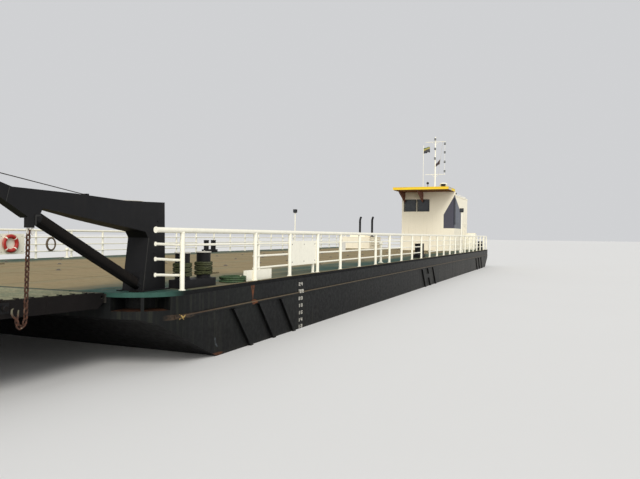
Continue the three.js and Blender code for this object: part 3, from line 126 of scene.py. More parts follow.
class Piece:
    """Faces gathered in the frame at full size, with a material number each, and made into one object."""

    def __init__(self):
        self.verts, self.faces, self.numbers = [], [], []

    def add(self, verts, faces, number=0, move=moved):
        start = len(self.verts)
        self.verts += [move(v) for v in verts]
        self.faces += [tuple(start + i for i in face) for face in faces]
        self.numbers += [number] * len(faces)
        return self

    def box(self, x0, x1, y0, y1, z0, z1, number=0):
        (x0, x1), (y0, y1), (z0, z1) = sorted((x0, x1)), sorted((y0, y1)), sorted((z0, z1))
        verts = [(x, y, z) for z in (z0, z1) for x, y in ((x0, y0), (x1, y0), (x1, y1), (x0, y1))]
        faces = [(3, 2, 1, 0), (4, 5, 6, 7), (0, 1, 5, 4), (1, 2, 6, 5), (2, 3, 7, 6), (3, 0, 4, 7)]
        return self.add(verts, faces, number)

    def tube(self, points, radius, sides=12, number=0, closed=False, radii=None, strands=None):
        """A round bar along points. strands is (lobes, depth, turn at each point) for a laid rope."""
        pts = [Vector(moved(p)) for p in points]
        count = len(pts)
        radii = radii or [radius] * count
        normal = None
        verts = []
        for i, p in enumerate(pts):
            before = pts[(i - 1) % count] if closed or i else p
            after = pts[(i + 1) % count] if closed or i < count - 1 else p
            along = (after - before).normalized()
            if normal is None:
                guess = Vector((0, 0, 1)) if abs(along.z) < 0.9 else Vector((0, 1, 0))
                normal = along.cross(guess).normalized()
            else:
                normal = (normal - along * normal.dot(along)).normalized()
            other = along.cross(normal)
            for k in range(sides):
                a = tau * (k + 0.5) / sides
                r = radii[i]
                if strands:
                    lobes, depth, turn = strands
                    r *= 1 - depth * (1 - abs(cos(lobes / 2 * (a - turn * i))))
                verts.append(p + r * (cos(a) * normal + sin(a) * other))
        ends = [] if closed else plugs(sides, (count - 1) * sides)
        return self.add(verts, between(count, sides, closed) + ends, number, tuple)

    def post(self, x, y, low, high, radius, sides=12, number=0):
        return self.tube([(x, y, low), (x, y, high)], radius, sides, number)

    def lathe(self, profile, place, sides=24, number=0, axis="z"):
        """Rows of (radius, height) turned about an axis through the place."""
        verts = []
        for r, h in profile:
            for k in range(sides):
                u, v = r * cos(tau * k / sides), r * sin(tau * k / sides)
                spot = {"z": (u, v, h), "x": (h, u, v), "y": (v, h, u)}[axis]
                verts.append(tuple(c + p for c, p in zip(spot, place)))
        return self.add(verts, between(len(profile), sides) + plugs(sides, (len(profile) - 1) * sides), number)

    def collar(self, inner, outer, half, lip, place, sides=24, number=0, axis="z"):
        """A raised ring round a bar, chamfered on both sides."""
        rows = [(inner, -half), (outer, -lip), (outer, lip), (inner, half)]
        return self.lathe(rows, place, sides, number, axis)

    def disc(self, place, radius, thick, sides=20, number=0, axis="z"):
        """A low round plate with a chamfered rim, on its place along the axis, or under it if negative."""
        soft = min(abs(thick), radius) * 0.3
        profile = [(radius, 0), (radius, thick - soft), (radius - soft, thick)]
        if thick < 0:
            place = tuple(c + (thick if letter == axis else 0) for c, letter in zip(place, "xyz"))
            profile = [(radius - soft, 0), (radius, soft), (radius, -thick)]
        return self.lathe(profile, place, sides, number, axis)

    def bolts(self, centre, radius, count, size, thick, number=0):
        """Six-sided heads in a circle on a level face."""
        for place in ring_points(centre, radius, count, "z"):
            self.disc(place, size, thick, 6, number)

    def slab(self, outline, low, high, plane="xz", number=0):
        """An outline of two-number points, pushed from low to high along the third axis."""
        area = sum(a[0] * b[1] - b[0] * a[1] for a, b in zip(outline, outline[1:] + outline[:1]))
        points = outline if (area > 0) == (plane != "xz") else outline[::-1]
        spot = {"xz": lambda a, b, c: (a, c, b), "yz": lambda a, b, c: (c, a, b)}[plane]
        verts = [spot(a, b, level) for level in sorted((low, high)) for a, b in points]
        n = len(points)
        sides = [(i, (i + 1) % n, n + (i + 1) % n, n + i) for i in range(n)]
        return self.add(verts, plugs(n, n) + sides, number)

    def link(self, place, along, across, length, wide, wire, number=0):
        """One welded chain link, a closed bar round two straights and two half rounds."""
        r = wide / 2 - wire
        straight = length / 2 - wire - r
        points = []
        for end, start in ((1, -90), (-1, 90)):
            for a in (radians(start + 45 * i) for i in range(5)):
                points.append(place + along * (end * straight + r * cos(a)) + across * (r * sin(a)))
        return self.tube(points, wire, 6, number, True)

    def make(self, name, slot, replaces=(), paint=None, body="barge", angle=35, bevel=0.0):
        """One object on its body. Paint is a material, a slot or a list of them; if none, its own slot."""
        mesh = bpy.data.meshes.new(name)
        mesh.from_pydata([tuple(c * HALF for c in v) for v in self.verts], [], self.faces)
        mesh.update()
        paint = paint or slot
        for one in paint if isinstance(paint, list) else [paint]:
            mesh.materials.append(MATERIALS[one] if isinstance(one, str) else one)
        mesh.polygons.foreach_set("material_index", self.numbers)
        mesh.polygons.foreach_set("use_smooth", [True] * len(mesh.polygons))
        mesh.set_sharp_from_angle(angle=radians(angle))
        obj = bpy.data.objects.new(name, mesh)
        bpy.context.scene.collection.objects.link(obj)
        if bevel:
            edge = obj.modifiers.new("bevel", "BEVEL")
            edge.width = bevel * HALF
            edge.segments = 2
            edge.limit_method = "ANGLE"
            edge.angle_limit = radians(40)
        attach(obj, body)
        if replaces:
            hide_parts(*replaces)
        return obj


# Materials
def worked(kind, swapped=False):
    """An operator of Value, as one math node."""
    return lambda self, other: self.graph.math(kind, *((other, self) if swapped else (self, other)))


class Value:
    """An output of a node, which can be added, subtracted, multiplied and divided."""

    def __init__(self, graph, socket):
        self.graph, self.socket = graph, socket

    __add__, __sub__, __mul__, __truediv__ = map(worked, ("ADD", "SUBTRACT", "MULTIPLY", "DIVIDE"))
    __rsub__ = worked("SUBTRACT", True)

    def __abs__(self):
        return self.graph.math("ABSOLUTE", self)


class Graph:
    """A node material with small helpers."""

    def __init__(self, name):
        self.material = bpy.data.materials.new(name)
        self.material.use_nodes = True
        self.tree = self.material.node_tree
        self.tree.nodes.clear()
        self.place = self.node("ShaderNodeTexCoord", "Object")

    def plug(self, socket, value):
        if isinstance(value, Value):
            self.tree.links.new(value.socket, socket)
        elif isinstance(value, tuple):
            socket.default_value = (*value, 1)[:len(socket.default_value)]
        else:
            socket.default_value = value

    def node(self, kind, output, inputs={}, **settings):
        """A node with its settings and inputs, of which one output is given."""
        made = self.tree.nodes.new(kind)
        for key, value in settings.items():
            setattr(made, key, value)
        for key, value in inputs.items():
            self.plug(made.inputs[key], value)
        return Value(self, made.outputs[output]) if made.outputs else made

    def noise(self, scale, detail=4.0, rough=0.55, stretch=(1, 1, 1), twist=0.0):
        spread = self.node("ShaderNodeMapping", 0, {"Vector": self.place, "Scale": stretch})
        values = {"Vector": spread, "Scale": scale, "Detail": detail, "Roughness": rough, "Distortion": twist}
        return self.node("ShaderNodeTexNoise", "Fac", values)

    def axis(self, letter, of=None):
        return self.node("ShaderNodeSeparateXYZ", letter, {0: of or self.place})

    def station(self):
        return MIDDLE - self.axis("X") / HALF

    def side(self):
        return self.axis("Y") / HALF

    def height(self):
        return self.axis("Z") / HALF - DEPTH

    def facing(self):
        """1 where a face looks up, -1 where it looks down."""
        return self.axis("Z", self.node("ShaderNodeNewGeometry", "Normal"))

    def math(self, operation, a, b=0.0):
        return self.node("ShaderNodeMath", 0, {0: a, 1: b}, operation=operation)

    def step(self, value, low, high, to_low=0.0, to_high=1.0):
        ranges = {"Value": value, "From Min": low, "From Max": high, "To Min": to_low, "To Max": to_high}
        return self.node("ShaderNodeMapRange", "Result", ranges, interpolation_type="SMOOTHSTEP")

    def band(self, value, low, high, soft=0.02):
        return self.step(value, low - soft, low + soft) * self.step(value, high - soft, high + soft, 1.0, 0.0)

    def either(self, *values):
        out = values[0]
        for value in values[1:]:
            out = self.math("MAXIMUM", out, value)
        return out

    def mix(self, share, a, b):
        return self.node("ShaderNodeMix", 2, {"Factor": share, 6: a, 7: b}, data_type="RGBA")

    def tones(self, value, low, high, a, b):
        """One colour below low and another one above high."""
        return self.mix(self.step(value, low, high), a, b)

    def squared(self, value, middle, half):
        away = (value - middle) / half
        return away * away

    def patch(self, station, height, half_long, half_high, soft=0.35):
        """A ragged oval on a side of the barge, about a station and a height."""
        far = self.squared(self.station(), station, half_long) + self.squared(self.height(), height, half_high)
        return self.step(far + (self.noise(16, 4, 0.7) - 0.5), 1 - soft, 1 + soft, 1.0, 0.0)

    def finish(self, colour, roughness=0.5, metallic=0.0, bump=None, depth=0.002, strength=1.0, **fixed):
        """The material. fixed holds the shader's constant inputs, with _ for a space."""
        values = {"Base Color": colour, "Roughness": roughness, "Metallic": metallic}
        values.update((key.replace("_", " "), value) for key, value in fixed.items())
        if bump is not None:
            relief = {"Strength": strength, "Distance": depth, "Height": bump}
            values["Normal"] = self.node("ShaderNodeBump", 0, relief)
        shader = self.node("ShaderNodeBsdfPrincipled", 0, values)
        self.node("ShaderNodeOutputMaterial", 0, {"Surface": shader})
        return self.material


def dim(colour, share):
    return tuple(c * share for c in colour)


RUST_DARK = (0.095, 0.032, 0.014)
RUST_BRIGHT = (0.33, 0.115, 0.035)
DUST = (0.3, 0.25, 0.17)
TEAL = (0.036, 0.092, 0.074)
TAN = (0.292, 0.226, 0.118)
BLACK = (0.006, 0.0064, 0.007)
LEVEL = "Specular_IOR_Level"


def worn_paint(name, colour, dirt=DUST, dirty=0.35, rusty=0.12, roughness=0.45, scale=1.0, level=0.5, under=1.0):
    """Paint with a soft change of tone, dust, run marks and rust spots, and painted shade on faces that look
    down, dimmed to the share under.
    """
    g = Graph(name)
    large = g.noise(1.3 * scale, 5, 0.6)
    fine = g.noise(14 * scale, 6, 0.65)
    runs = g.noise(3.0 * scale, 5, 0.6, (4, 4, 0.5))
    dusty = g.step(runs, 0.45, 0.75) * g.step(large, 0.35, 0.75) * dirty
    painted = g.mix(g.step(fine, 0.3, 0.8) * 0.25, colour, dim(colour, 0.72))
    body = g.mix(dusty, painted, dirt)
    # Painted shade: faces that look down take the colour dimmed to the share under.
    if under < 1:
        body = g.tones(g.facing(), -0.25, -0.6, body, dim(colour, under))
    spots = g.step(g.noise(9 * scale, 8, 0.7), 0.66, 0.74) * g.step(large, 0.4, 0.7)
    layered_colour = g.mix(spots * (rusty * 4), body, g.mix(fine, RUST_DARK, RUST_BRIGHT))
    blotchy = dusty * 0.6 + fine * 0.5
    rough = g.step(blotchy, 0.0, 1.0, roughness, min(1.0, roughness + 0.35))
    relief = large * 0.6 + fine * 0.25
    return g.finish(layered_colour, rough, 0.0, relief, 0.003, 0.35, **{LEVEL: level})


def hull_paint():
    """Black topsides: dusty and greyer aft, scuffed at the waterline, rust below the deck's edge, and painted
    shade on faces that look down.
    """
    g = Graph("hull_paint")
    station, height = g.station(), g.height()
    large, fine = g.noise(0.9, 5, 0.6), g.noise(18, 6, 0.65)
    runs = g.noise(2.2, 5, 0.6, (5, 5, 0.35))
    base = g.tones(large, 0.35, 0.7, BLACK, (0.0085, 0.0098, 0.0092))
    aft = g.step(station, 4.0, 38.0) * g.step(runs, 0.25, 0.65) * 0.72
    greyed = g.mix(aft, base, (0.078, 0.075, 0.067))
    greyed = g.mix(g.step(height, -0.5, -1.2) * g.step(station, 24.0, 4.0) * 0.55, greyed, (0.002, 0.002, 0.0022))
    fallen = g.noise(3.0, 6, 0.7, (6, 6, 0.22))
    near_bow = g.step(fallen, 0.5, 0.68) * g.step(station, 0.5, -2.5) * 0.2
    streaked = g.mix(near_bow, greyed, (0.075, 0.082, 0.05))
    runs_low = g.step(runs, 0.55, 0.8) * g.step(height, -1.6, -0.3, 0.22, 0.08)
    dusty = g.mix(runs_low, streaked, (0.1, 0.085, 0.06))
    scum = g.band(height, WATERLINE, WATERLINE + 0.07, 0.03) * g.step(fine, 0.35, 0.65) * 0.25
    slimed = g.mix(scum, dusty, (0.045, 0.04, 0.03))
    below = g.step(height, WATERLINE - 0.03, WATERLINE + 0.01, 1.0, 0.0) * 0.75
    grown = g.mix(below, slimed, g.mix(fine, (0.02, 0.014, 0.01), (0.055, 0.03, 0.02)))
    sill = (g.step(station, -3.0, -3.2) * g.band(height, -0.4, -0.3, 0.02) * g.step(g.facing(), 0.4, 0.7)
        * g.step(fine, 0.2, 0.55) * 0.3)
    narrowing = g.step(height, 0.0, -0.42, 0.13, 0.03)
    drip = (g.step(abs(station + 0.28) / narrowing, 0.6, 1.0, 1.0, 0.0) * g.step(height, -0.46, -0.38)
        * g.step(g.noise(9, 6, 0.7, (3, 3, 0.5)), 0.34, 0.6) * 0.85)
    streak = (g.either(drip, g.patch(-0.22, -0.5, 0.14, 0.06) * 0.8, g.patch(-2.05, -1.49, 0.45, 0.04) * 0.35)
        * g.step(g.side(), 6.5, 6.6))
    spots = g.step(g.noise(7, 8, 0.7), 0.67, 0.75) * g.step(large, 0.4, 0.7) * 0.6
    layered_colour = g.mix(g.either(sill, streak * g.step(fine, 0.2, 0.5), spots), grown,
        g.tones(fine, 0.3, 0.8, RUST_DARK, (0.26, 0.085, 0.028)))
    # A tan line along the strake's upper edge: dust, with a painted highlight where its top catches the light.
    ledge = g.band(height, -0.497, -0.468, 0.006) * g.step(abs(g.side()), 7.1, 7.108) * 0.75
    ledge = g.either(ledge, g.band(height, -0.56, -0.46, 0.01) * g.step(station, -2.7, -2.95)
        * g.step(abs(g.side()), 6.9, 7.0) * g.step(fine, 0.3, 0.6) * 0.55)
    layered_colour = g.mix(ledge, layered_colour, g.tones(station, -1.0, -2.6, (0.155, 0.118, 0.072), (0.1, 0.066, 0.042)))
    away, rise = station + 3.16, height + 0.525
    arms = [g.step(abs(rise - away * slope), 0.012, 0.02, 1.0, 0.0) for slope in (-0.77, 0.55)]
    cross = (g.either(*arms) * g.band(away, -0.062, 0.062, 0.01) * g.step(g.side(), 6.5, 6.6)
        * g.step(fine, 0.2, 0.4) * 0.9)
    layered_colour = g.mix(cross, layered_colour, (0.42, 0.29, 0.1))
    far = g.math("SQRT", g.squared(station, -1.7, 1.0) + g.squared(height, -1.13, 1.0))
    scrape = (g.band(far, 0.24, 0.28, 0.015) * g.band(height, -1.32, -1.12, 0.03) * g.step(station, -1.78, -1.86)
        * g.step(fine, 0.35, 0.6) * g.step(g.side(), 6.5, 6.6) * 0.6)
    layered_colour = g.mix(scrape, layered_colour, (0.13, 0.15, 0.17))
    # Painted shade: faces that look down, such as the bow's raked bottom, are made near black.
    layered_colour = g.tones(g.facing(), -0.205, -0.235, layered_colour, (0.0018, 0.0018, 0.002))
    rough = g.step(fine, 0.2, 0.8, 0.46, 0.68)
    relief = large * 0.8 + g.noise(1.1, 2, 0.5, (1.6, 1.6, 0.2)) * 0.7
    return g.finish(layered_colour, rough, 0.0, relief, 0.008, 0.4, **{LEVEL: 0.14})


def deck_paint(name, edge):
    """Worn green deck paint, tan where it is walked and driven on. edge picks the deck or the ramp."""
    g = Graph(name)
    station, side = g.station(), abs(g.side())
    large, fine = g.noise(0.55, 6, 0.62, (1, 1.4, 1), 0.4), g.noise(11, 7, 0.7)
    tracks = g.noise(0.8, 4, 0.6, (0.25, 3.0, 1))
    middle = g.step(side, 6.4, 3.4, 0.0, 1.0)
    bare = middle * 0.42 + (large + tracks) * 0.55
    share = g.step(bare + fine * 0.22, 0.55, 1.0)
    green = g.tones(fine, 0.3, 0.75, TEAL, dim(TEAL, 0.62))
    tan = g.tones(fine, 0.25, 0.75, TAN, dim(TAN, 0.8))
    tinted = g.mix(g.step(tracks, 0.45, 0.75) * 0.4, tan, (0.17, 0.195, 0.125))
    reddish = g.mix(g.step(tracks, 0.45, 0.25) * 0.35, tinted, (0.3, 0.185, 0.105))
    top = g.mix(share, green, reddish)
    stained = g.mix(g.step(g.noise(2.6, 6, 0.7), 0.62, 0.74) * 0.3, top, (0.095, 0.076, 0.05))
    upward = g.step(g.facing(), 0.5, 0.75)
    if edge == "deck":
        by_ropes = g.band(station, -2.85, 0.1, 0.15) * g.step(side, 6.2, 6.6) * g.step(g.side(), 0, 1) * 0.75
        rim = g.either(g.step(side, 7.02, 7.06) * g.step(station, -2.9, -2.2) * 0.8, by_ropes)
        dusted = g.mix(rim, stained, (0.15, 0.13, 0.078))
        corner = g.step(station, -2.95, -3.25) * g.step(side, 5.0, 5.5)
        dusted = g.mix(corner, dusted, g.tones(fine, 0.3, 0.75, TEAL, dim(TEAL, 0.75)))
        sides = g.tones(station, -3.55, -3.0, g.tones(fine, 0.35, 0.7, TEAL, dim(TEAL, 0.8)), BLACK)
    else:
        root = g.step(station, -4.65, -4.35) * 0.7
        lines = g.tones(tracks, 0.4, 0.65, (0.3, 0.27, 0.17), (0.15, 0.24, 0.175))
        dusted = g.mix(root, g.mix(0.6, stained, lines), (0.04, 0.034, 0.028))
        bars = g.tones(fine, 0.3, 0.7, (0.33, 0.32, 0.22), (0.2, 0.215, 0.15))
        plates = g.tones(large, 0.35, 0.7, (0.0058, 0.005, 0.0054), (0.01, 0.0078, 0.0072))
        outside = g.either(g.step(side, 5.9, 5.93), g.step(g.facing(), -0.3, -0.6))
        sides = g.mix(outside, bars, plates)
        dusted = g.tones(side, 5.998, 6.002, dusted, plates)
    colour = g.mix(upward, sides, dusted)
    spots = g.step(g.noise(6, 8, 0.72), 0.66, 0.75) * upward * 0.35
    layered_colour = g.mix(spots, colour, g.mix(fine, RUST_DARK, RUST_BRIGHT))
    relief = fine * 0.5 + large * 0.5
    return g.finish(layered_colour, g.step(fine, 0.2, 0.8, 0.7, 0.92), 0.0, relief, 0.002, 0.35, **{LEVEL: 0.15})


HOUSE = {"front": 35.95, "aft": 42.33, "port": 5.5, "starboard": 1.14, "roof": 4.55}


def house_paint():
    """Cream walls with a dark five-sided panel painted round the forward port corner; its half on the front wall
    is darker, as painted shade.
    """
    g = Graph("house_cream")
    station, side, height = g.station(), g.side(), g.height()
    large, fine = g.noise(1.2, 5, 0.6), g.noise(16, 6, 0.65)
    runs = g.noise(3.2, 5, 0.6, (4, 4, 0.4))
    cream = g.mix(g.step(fine, 0.3, 0.8) * 0.2, (0.95, 0.89, 0.72), (0.82, 0.75, 0.58))
    dirty = g.mix(g.step(runs, 0.5, 0.75) * g.step(large, 0.35, 0.7) * 0.22, cream, (0.46, 0.38, 0.25))
    above_foot = g.step(height, 1.82, 1.84)
    long_slope = 4.52 - (station - HOUSE["front"]) * 0.438
    short_slope = 4.52 - (HOUSE["port"] - side) * 1.784
    on_side = (above_foot * g.step(long_slope - height, 0.0, 0.02) * g.step(station, 39.29, 39.27)
        * g.step(side, 5.48, 5.49))
    on_front = (above_foot * g.step(short_slope - height, 0.0, 0.02) * g.step(side, 4.61, 4.63)
        * g.step(station, 35.97, 35.96))
    sided = g.mix(on_side, dirty, g.tones(runs, 0.4, 0.7, (0.105, 0.118, 0.15), (0.145, 0.15, 0.165)))
    # Painted shade: the panel's half on the front wall is darker than its half on the side.
    fronted = g.mix(on_front, sided, (0.066, 0.066, 0.092))
    strip = (g.either(on_front * g.step(side, 5.41, 5.43), on_side * g.step(station, 36.5, 36.45))
        * g.band(height, 2.1, 4.3, 0.02) * g.step(g.noise(7, 3, 0.6), 0.34, 0.38))
    fronted = g.mix(strip, fronted, (0.012, 0.015, 0.026))
    rust = g.step(g.noise(8, 8, 0.7), 0.68, 0.76) * 0.6
    colour = g.mix(rust, fronted, g.mix(fine, RUST_DARK, RUST_BRIGHT))
    return g.finish(colour, g.step(fine, 0.2, 0.8, 0.45, 0.65), 0.0, large * 0.6, 0.004, 0.4)


def canopy_paint():
    """Yellow above and at the edge, brown red below, with one pale patch on the port edge."""
    g = Graph("roof_yellow")
    station, height = g.station(), g.height()
    fine, large = g.noise(14, 6, 0.65), g.noise(1.4, 5, 0.6)
    yellow = g.tones(large, 0.35, 0.7, (0.98, 0.7, 0.022), (0.92, 0.6, 0.025))
    patch = g.band(station, 33.3, 34.6) * g.step(height, 4.7, 4.75) * g.step(g.side(), 5.4, 5.45) * 0.8
    patched = g.mix(patch, yellow, (0.48, 0.48, 0.46))
    under = g.step(g.facing(), -0.5, -0.7)
    low = g.either(under, g.step(height, 4.8, 4.79))
    colour = g.mix(low, patched, g.tones(fine, 0.3, 0.7, (0.21, 0.065, 0.035), (0.13, 0.052, 0.032)))
    return g.finish(colour, g.step(fine, 0.2, 0.8, 0.42, 0.65), 0.0, fine * 0.3, 0.002, 0.3)


def rope_paint(name, light, dark, scale=60.0):
    """Laid rope: yarns along the strands, dust in the lay."""
    g = Graph(name)
    yarn, large = g.noise(scale, 6, 0.7, (1, 1, 2.2)), g.noise(5, 4, 0.6)
    fibre = g.tones(yarn, 0.3, 0.7, dark, light)
    dusty = g.mix(g.step(large, 0.45, 0.75) * 0.35, fibre, tuple(0.5 * c + 0.08 for c in light))
    return g.finish(dusty, 0.88, 0.0, yarn, 0.0015, 0.8, **{LEVEL: 0.2})


def chain_paint():
    g = Graph("rusty_chain")
    fine, grit = g.noise(55, 6, 0.7), g.noise(18, 5, 0.65)
    colour = g.tones(fine, 0.35, 0.68, (0.028, 0.012, 0.007), (0.095, 0.034, 0.014))
    # Pale flecks on the links: worn metal, with painted glints.
    worn = g.mix(g.step(grit, 0.62, 0.7) * 0.6, colour, (0.34, 0.26, 0.18))
    hook = g.step(g.height(), -0.16, -0.06) * g.step(g.height(), 0.02, -0.02) * g.step(g.station(), -6.45, -6.49)
    return g.finish(g.mix(hook, worn, (0.125, 0.115, 0.075)), 0.8, 0.1, fine, 0.0015, 0.8)


def striped_cloth(name, stripes, low, high, across=0.0):
    """Thin cloth in level stripes from low to high, dark to the last colour; its weave is in the bump."""
    g = Graph(name)
    level = g.height() + (g.side() - 2.3) * across
    colour = stripes[0]
    for i, next_colour in enumerate(stripes[1:], 1):
        edge = low + (high - low) * i / len(stripes)
        colour = g.tones(level, edge - 0.004, edge + 0.004, colour, next_colour)
    faded = g.mix(g.step(g.noise(9, 5, 0.6), 0.4, 0.7) * 0.25, colour, (0.3, 0.28, 0.22))
    weave = g.noise(260, 2, 0.5, (1, 1, 0.1)) * g.noise(260, 2, 0.5, (1, 0.1, 1))
    return g.finish(faded, 0.85, 0.0, weave, 0.0006, 0.6, Sheen_Weight=0.3)


def pane_glass():
    g = Graph("window_glass")
    smear = g.noise(4, 5, 0.6)
    colour = g.mix(g.step(smear, 0.45, 0.75) * 0.3, (0.018, 0.023, 0.027), (0.1, 0.1, 0.09))
    return g.finish(colour, g.step(smear, 0.3, 0.8, 0.04, 0.16), 0.0, None, Coat_Weight=0.4)


def sea_bronze():
    g = Graph("bronze")
    fine, large = g.noise(22, 6, 0.7), g.noise(5, 4, 0.6)
    colour = g.tones(large, 0.35, 0.7, (0.36, 0.21, 0.075), (0.16, 0.15, 0.08))
    return g.finish(colour, g.step(fine, 0.2, 0.8, 0.28, 0.55), 0.85, fine, 0.001, 0.4)


MATERIALS = {
    "hull_paint": hull_paint(),
    "deck_paint": deck_paint("deck_paint", "deck"),
    # arm_paint: painted shade on faces that look down, dimmed to 0.12 of the colour.
    "arm_paint": worn_paint("arm_paint", (0.0098, 0.0098, 0.0108), (0.06, 0.048, 0.04), 0.16, 0.04, 0.5, 1.0,
        0.16, 0.12),
    "wire_steel": worn_paint("wire_steel", (0.04, 0.036, 0.031), rusty=0.25, roughness=0.6, level=0.3),
    "rusty_chain": chain_paint(),
    "rail_white": worn_paint("rail_white", (0.95, 0.92, 0.78), (0.46, 0.38, 0.26), 0.25, 0.05, 0.35, 1.6),
    "ring_red": worn_paint("ring_red", (0.42, 0.018, 0.012), dirty=0.2, rusty=0),
    "mooring_rope": rope_paint("mooring_rope", (0.08, 0.135, 0.062), (0.012, 0.03, 0.014)),
    "house_cream": house_paint(),
    "cabin_inside": worn_paint("cabin_inside", (0.25, 0.24, 0.21)),
    "roof_yellow": canopy_paint(),
    "window_glass": pane_glass(),
    "lamp_black": worn_paint("lamp_black", (0.01, 0.01, 0.011), dirty=0.2, rusty=0, scale=3.0, level=0.35),
    "flag_cloth": striped_cloth("flag_cloth", [(0.018, 0.02, 0.035), (0.38, 0.33, 0.09), (0.03, 0.11, 0.035)],
        8.42, 8.86, -0.35),
    "bronze": sea_bronze(),
}
RAMP_PAINT = deck_paint("ramp_paint", "ramp")
ROPE_TURNS = rope_paint("rope_turns", (0.082, 0.088, 0.036), (0.012, 0.016, 0.007))
HEMP = rope_paint("hemp", (0.15, 0.11, 0.065), (0.05, 0.036, 0.022))
TWINE = rope_paint("twine", (0.62, 0.56, 0.4), (0.34, 0.29, 0.19), 90.0)
WHITE_MARK = worn_paint("white_mark", (0.72, 0.7, 0.62), rusty=0, dirty=0.4, scale=3.0)
BARE_STEEL = worn_paint("bare_steel", (0.13, 0.115, 0.095), RUST_BRIGHT, 0.4, 0.3, 0.5, 3.0)
PALE_STEEL = worn_paint("pale_steel", (0.66, 0.63, 0.55), (0.3, 0.24, 0.16), 0.4, 0.1, 0.5, 3.0)
SCUFFED = worn_paint("scuffed", (0.03, 0.03, 0.029), (0.1, 0.09, 0.07), 0.4, 0.1, 0.55, 3.0, 0.2)
EDGE_DUST = worn_paint("edge_dust", (0.205, 0.165, 0.095), (0.1, 0.085, 0.055), 0.5, 0.3, 0.7, 2.0, 0.2)
RUBBER = worn_paint("rubber", (0.012, 0.012, 0.012), rusty=0, dirty=0.35, roughness=0.7, scale=3.0, level=0.25)
DARK_PENNANT = striped_cloth("dark_pennant", [(0.035, 0.02, 0.024), (0.055, 0.03, 0.034)], 7.1, 7.9)


def dress_nodes():
    for row in frame["record"]["subparts"]:
        mesh = frame["nodes"][row["node"]].data
        mesh.materials.clear()
        mesh.materials.append(MATERIALS[row["material_slot"]])
    ramp = frame["nodes"]["bow_ramp"].data
    ramp.materials.clear()
    ramp.materials.append(RAMP_PAINT)


dress_nodes()
SIDES = (("port", 1), ("starboard", -1))


# Mooring rope: a free coil on deck, and the turns on the bow bollards
ROPE_RADIUS = 0.025
COIL = {"station": -0.66, "y": 6.75, "rings": (0.305, 0.255), "points": 140}
COIL_PLACES = ((0, 0), (1, 0), (1, 1), (0, 1), (0, 2), (1, 2))
HOLD, SHIFT = 0.7, 0.15


def coil_path():
    """Two rings, three layers high: each turn ends a little earlier than the one that it lies on."""

    def spot(place):
        ring, layer = COIL_PLACES[place]
        return COIL["rings"][ring], ROPE_RADIUS * (1 + 2 * layer) + 0.001

    stops = [(0.0, 0), (0.85, 0)]
    for place in range(1, len(COIL_PLACES)):
        begin = stops[-1][0] + SHIFT
        stops += [(begin, place), (begin + HOLD, place)]
    path = []
    for i in range(round(stops[-1][0] * COIL["points"]) + 1):
        t = i / COIL["points"]
        leg = max(k for k in range(len(stops) - 1) if stops[k][0] <= t + 1e-9)
        (t0, a), (t1, b) = stops[leg], stops[leg + 1]
        share = min(1.0, max(0.0, (t - t0) / (t1 - t0)))
        share = share * share * (3 - 2 * share)
        radius, height = (u + (v - u) * share for u, v in zip(spot(a), spot(b)))
        angle = tau * t + 2.2
        path.append((-COIL["station"] + radius * cos(angle), COIL["y"] + radius * sin(angle), height))
    return path


def make_coil():
    path = coil_path()
    rope = Piece().tube(path, ROPE_RADIUS, 15, strands=(3, 0.22, tau / 14))
    coil = rope.make("mooring_coil", "mooring_rope", ["rope_coil"], angle=60)
    whipping = Piece()
    for end in (path[:6], path[-6:]):
        whipping.tube(end, ROPE_RADIUS * 1.02, 15)
    tie = whipping.make("coil_whipping", "mooring_rope", paint=TWINE)
    route = [Vector(moved(p)) * HALF for p in path]
    length = sum((b - a).length for a, b in zip(route, route[1:]))
    tuple(route[0])
    [tuple(p) for p in route]


make_coil()
BOLLARD = {"pitch": 0.79, "post": 0.155, "cap": 0.17, "height": 0.76, "base": 0.18, "past": 0.2, "half": 0.2}
BOLLARD_PAIRS = {"bow": (-2.2, 6.68), "middle": (19.0, 6.66), "stern": (42.9, 6.6)}
TURNS = {"low": 0.24, "radius": 0.0252, "count": 6, "points": 90}


def make_turns(name, station):
    """Three pairs of turns, drawn tight, whose ends are tucked in at the bollard."""
    x, y = -station, BOLLARD_PAIRS["bow"][1]
    rope = Piece()
    for pair in range(TURNS["count"] // 2):
        path = []
        low = TURNS["low"] + TURNS["radius"] * (1.1 + 4 * pair)
        steps = 2 * TURNS["points"]
        for i in range(steps + 1):
            t = 2 * i / steps
            rise = 0.5 - 0.5 * cos(pi * min(1.0, max(0.0, (t - 0.85) / 0.3)))
            tuck = max(0.0, 1 - min(t, 2 - t) / 0.05)
            radius = BOLLARD["post"] + TURNS["radius"] * (1 - 1.2 * tuck)
            angle = tau * t + 0.9 + 2.1 * pair
            slant = 0.008 * sin(angle) if pair == 0 else 0.0
            height = low + 1.72 * TURNS["radius"] * rise + slant
            path.append((x + radius * cos(angle), y + radius * sin(angle), height))
        rope.tube(path, TURNS["radius"], 12, strands=(3, 0.14, tau / 16))
    rope.make("mooring_turns_" + name, "mooring_rope", ["rope_turns_" + name], paint=ROPE_TURNS, angle=60)


for turns_name, share in (("forward", -0.5), ("aft", 0.5)):
    make_turns(turns_name, BOLLARD_PAIRS["bow"][0] + share * BOLLARD["pitch"])


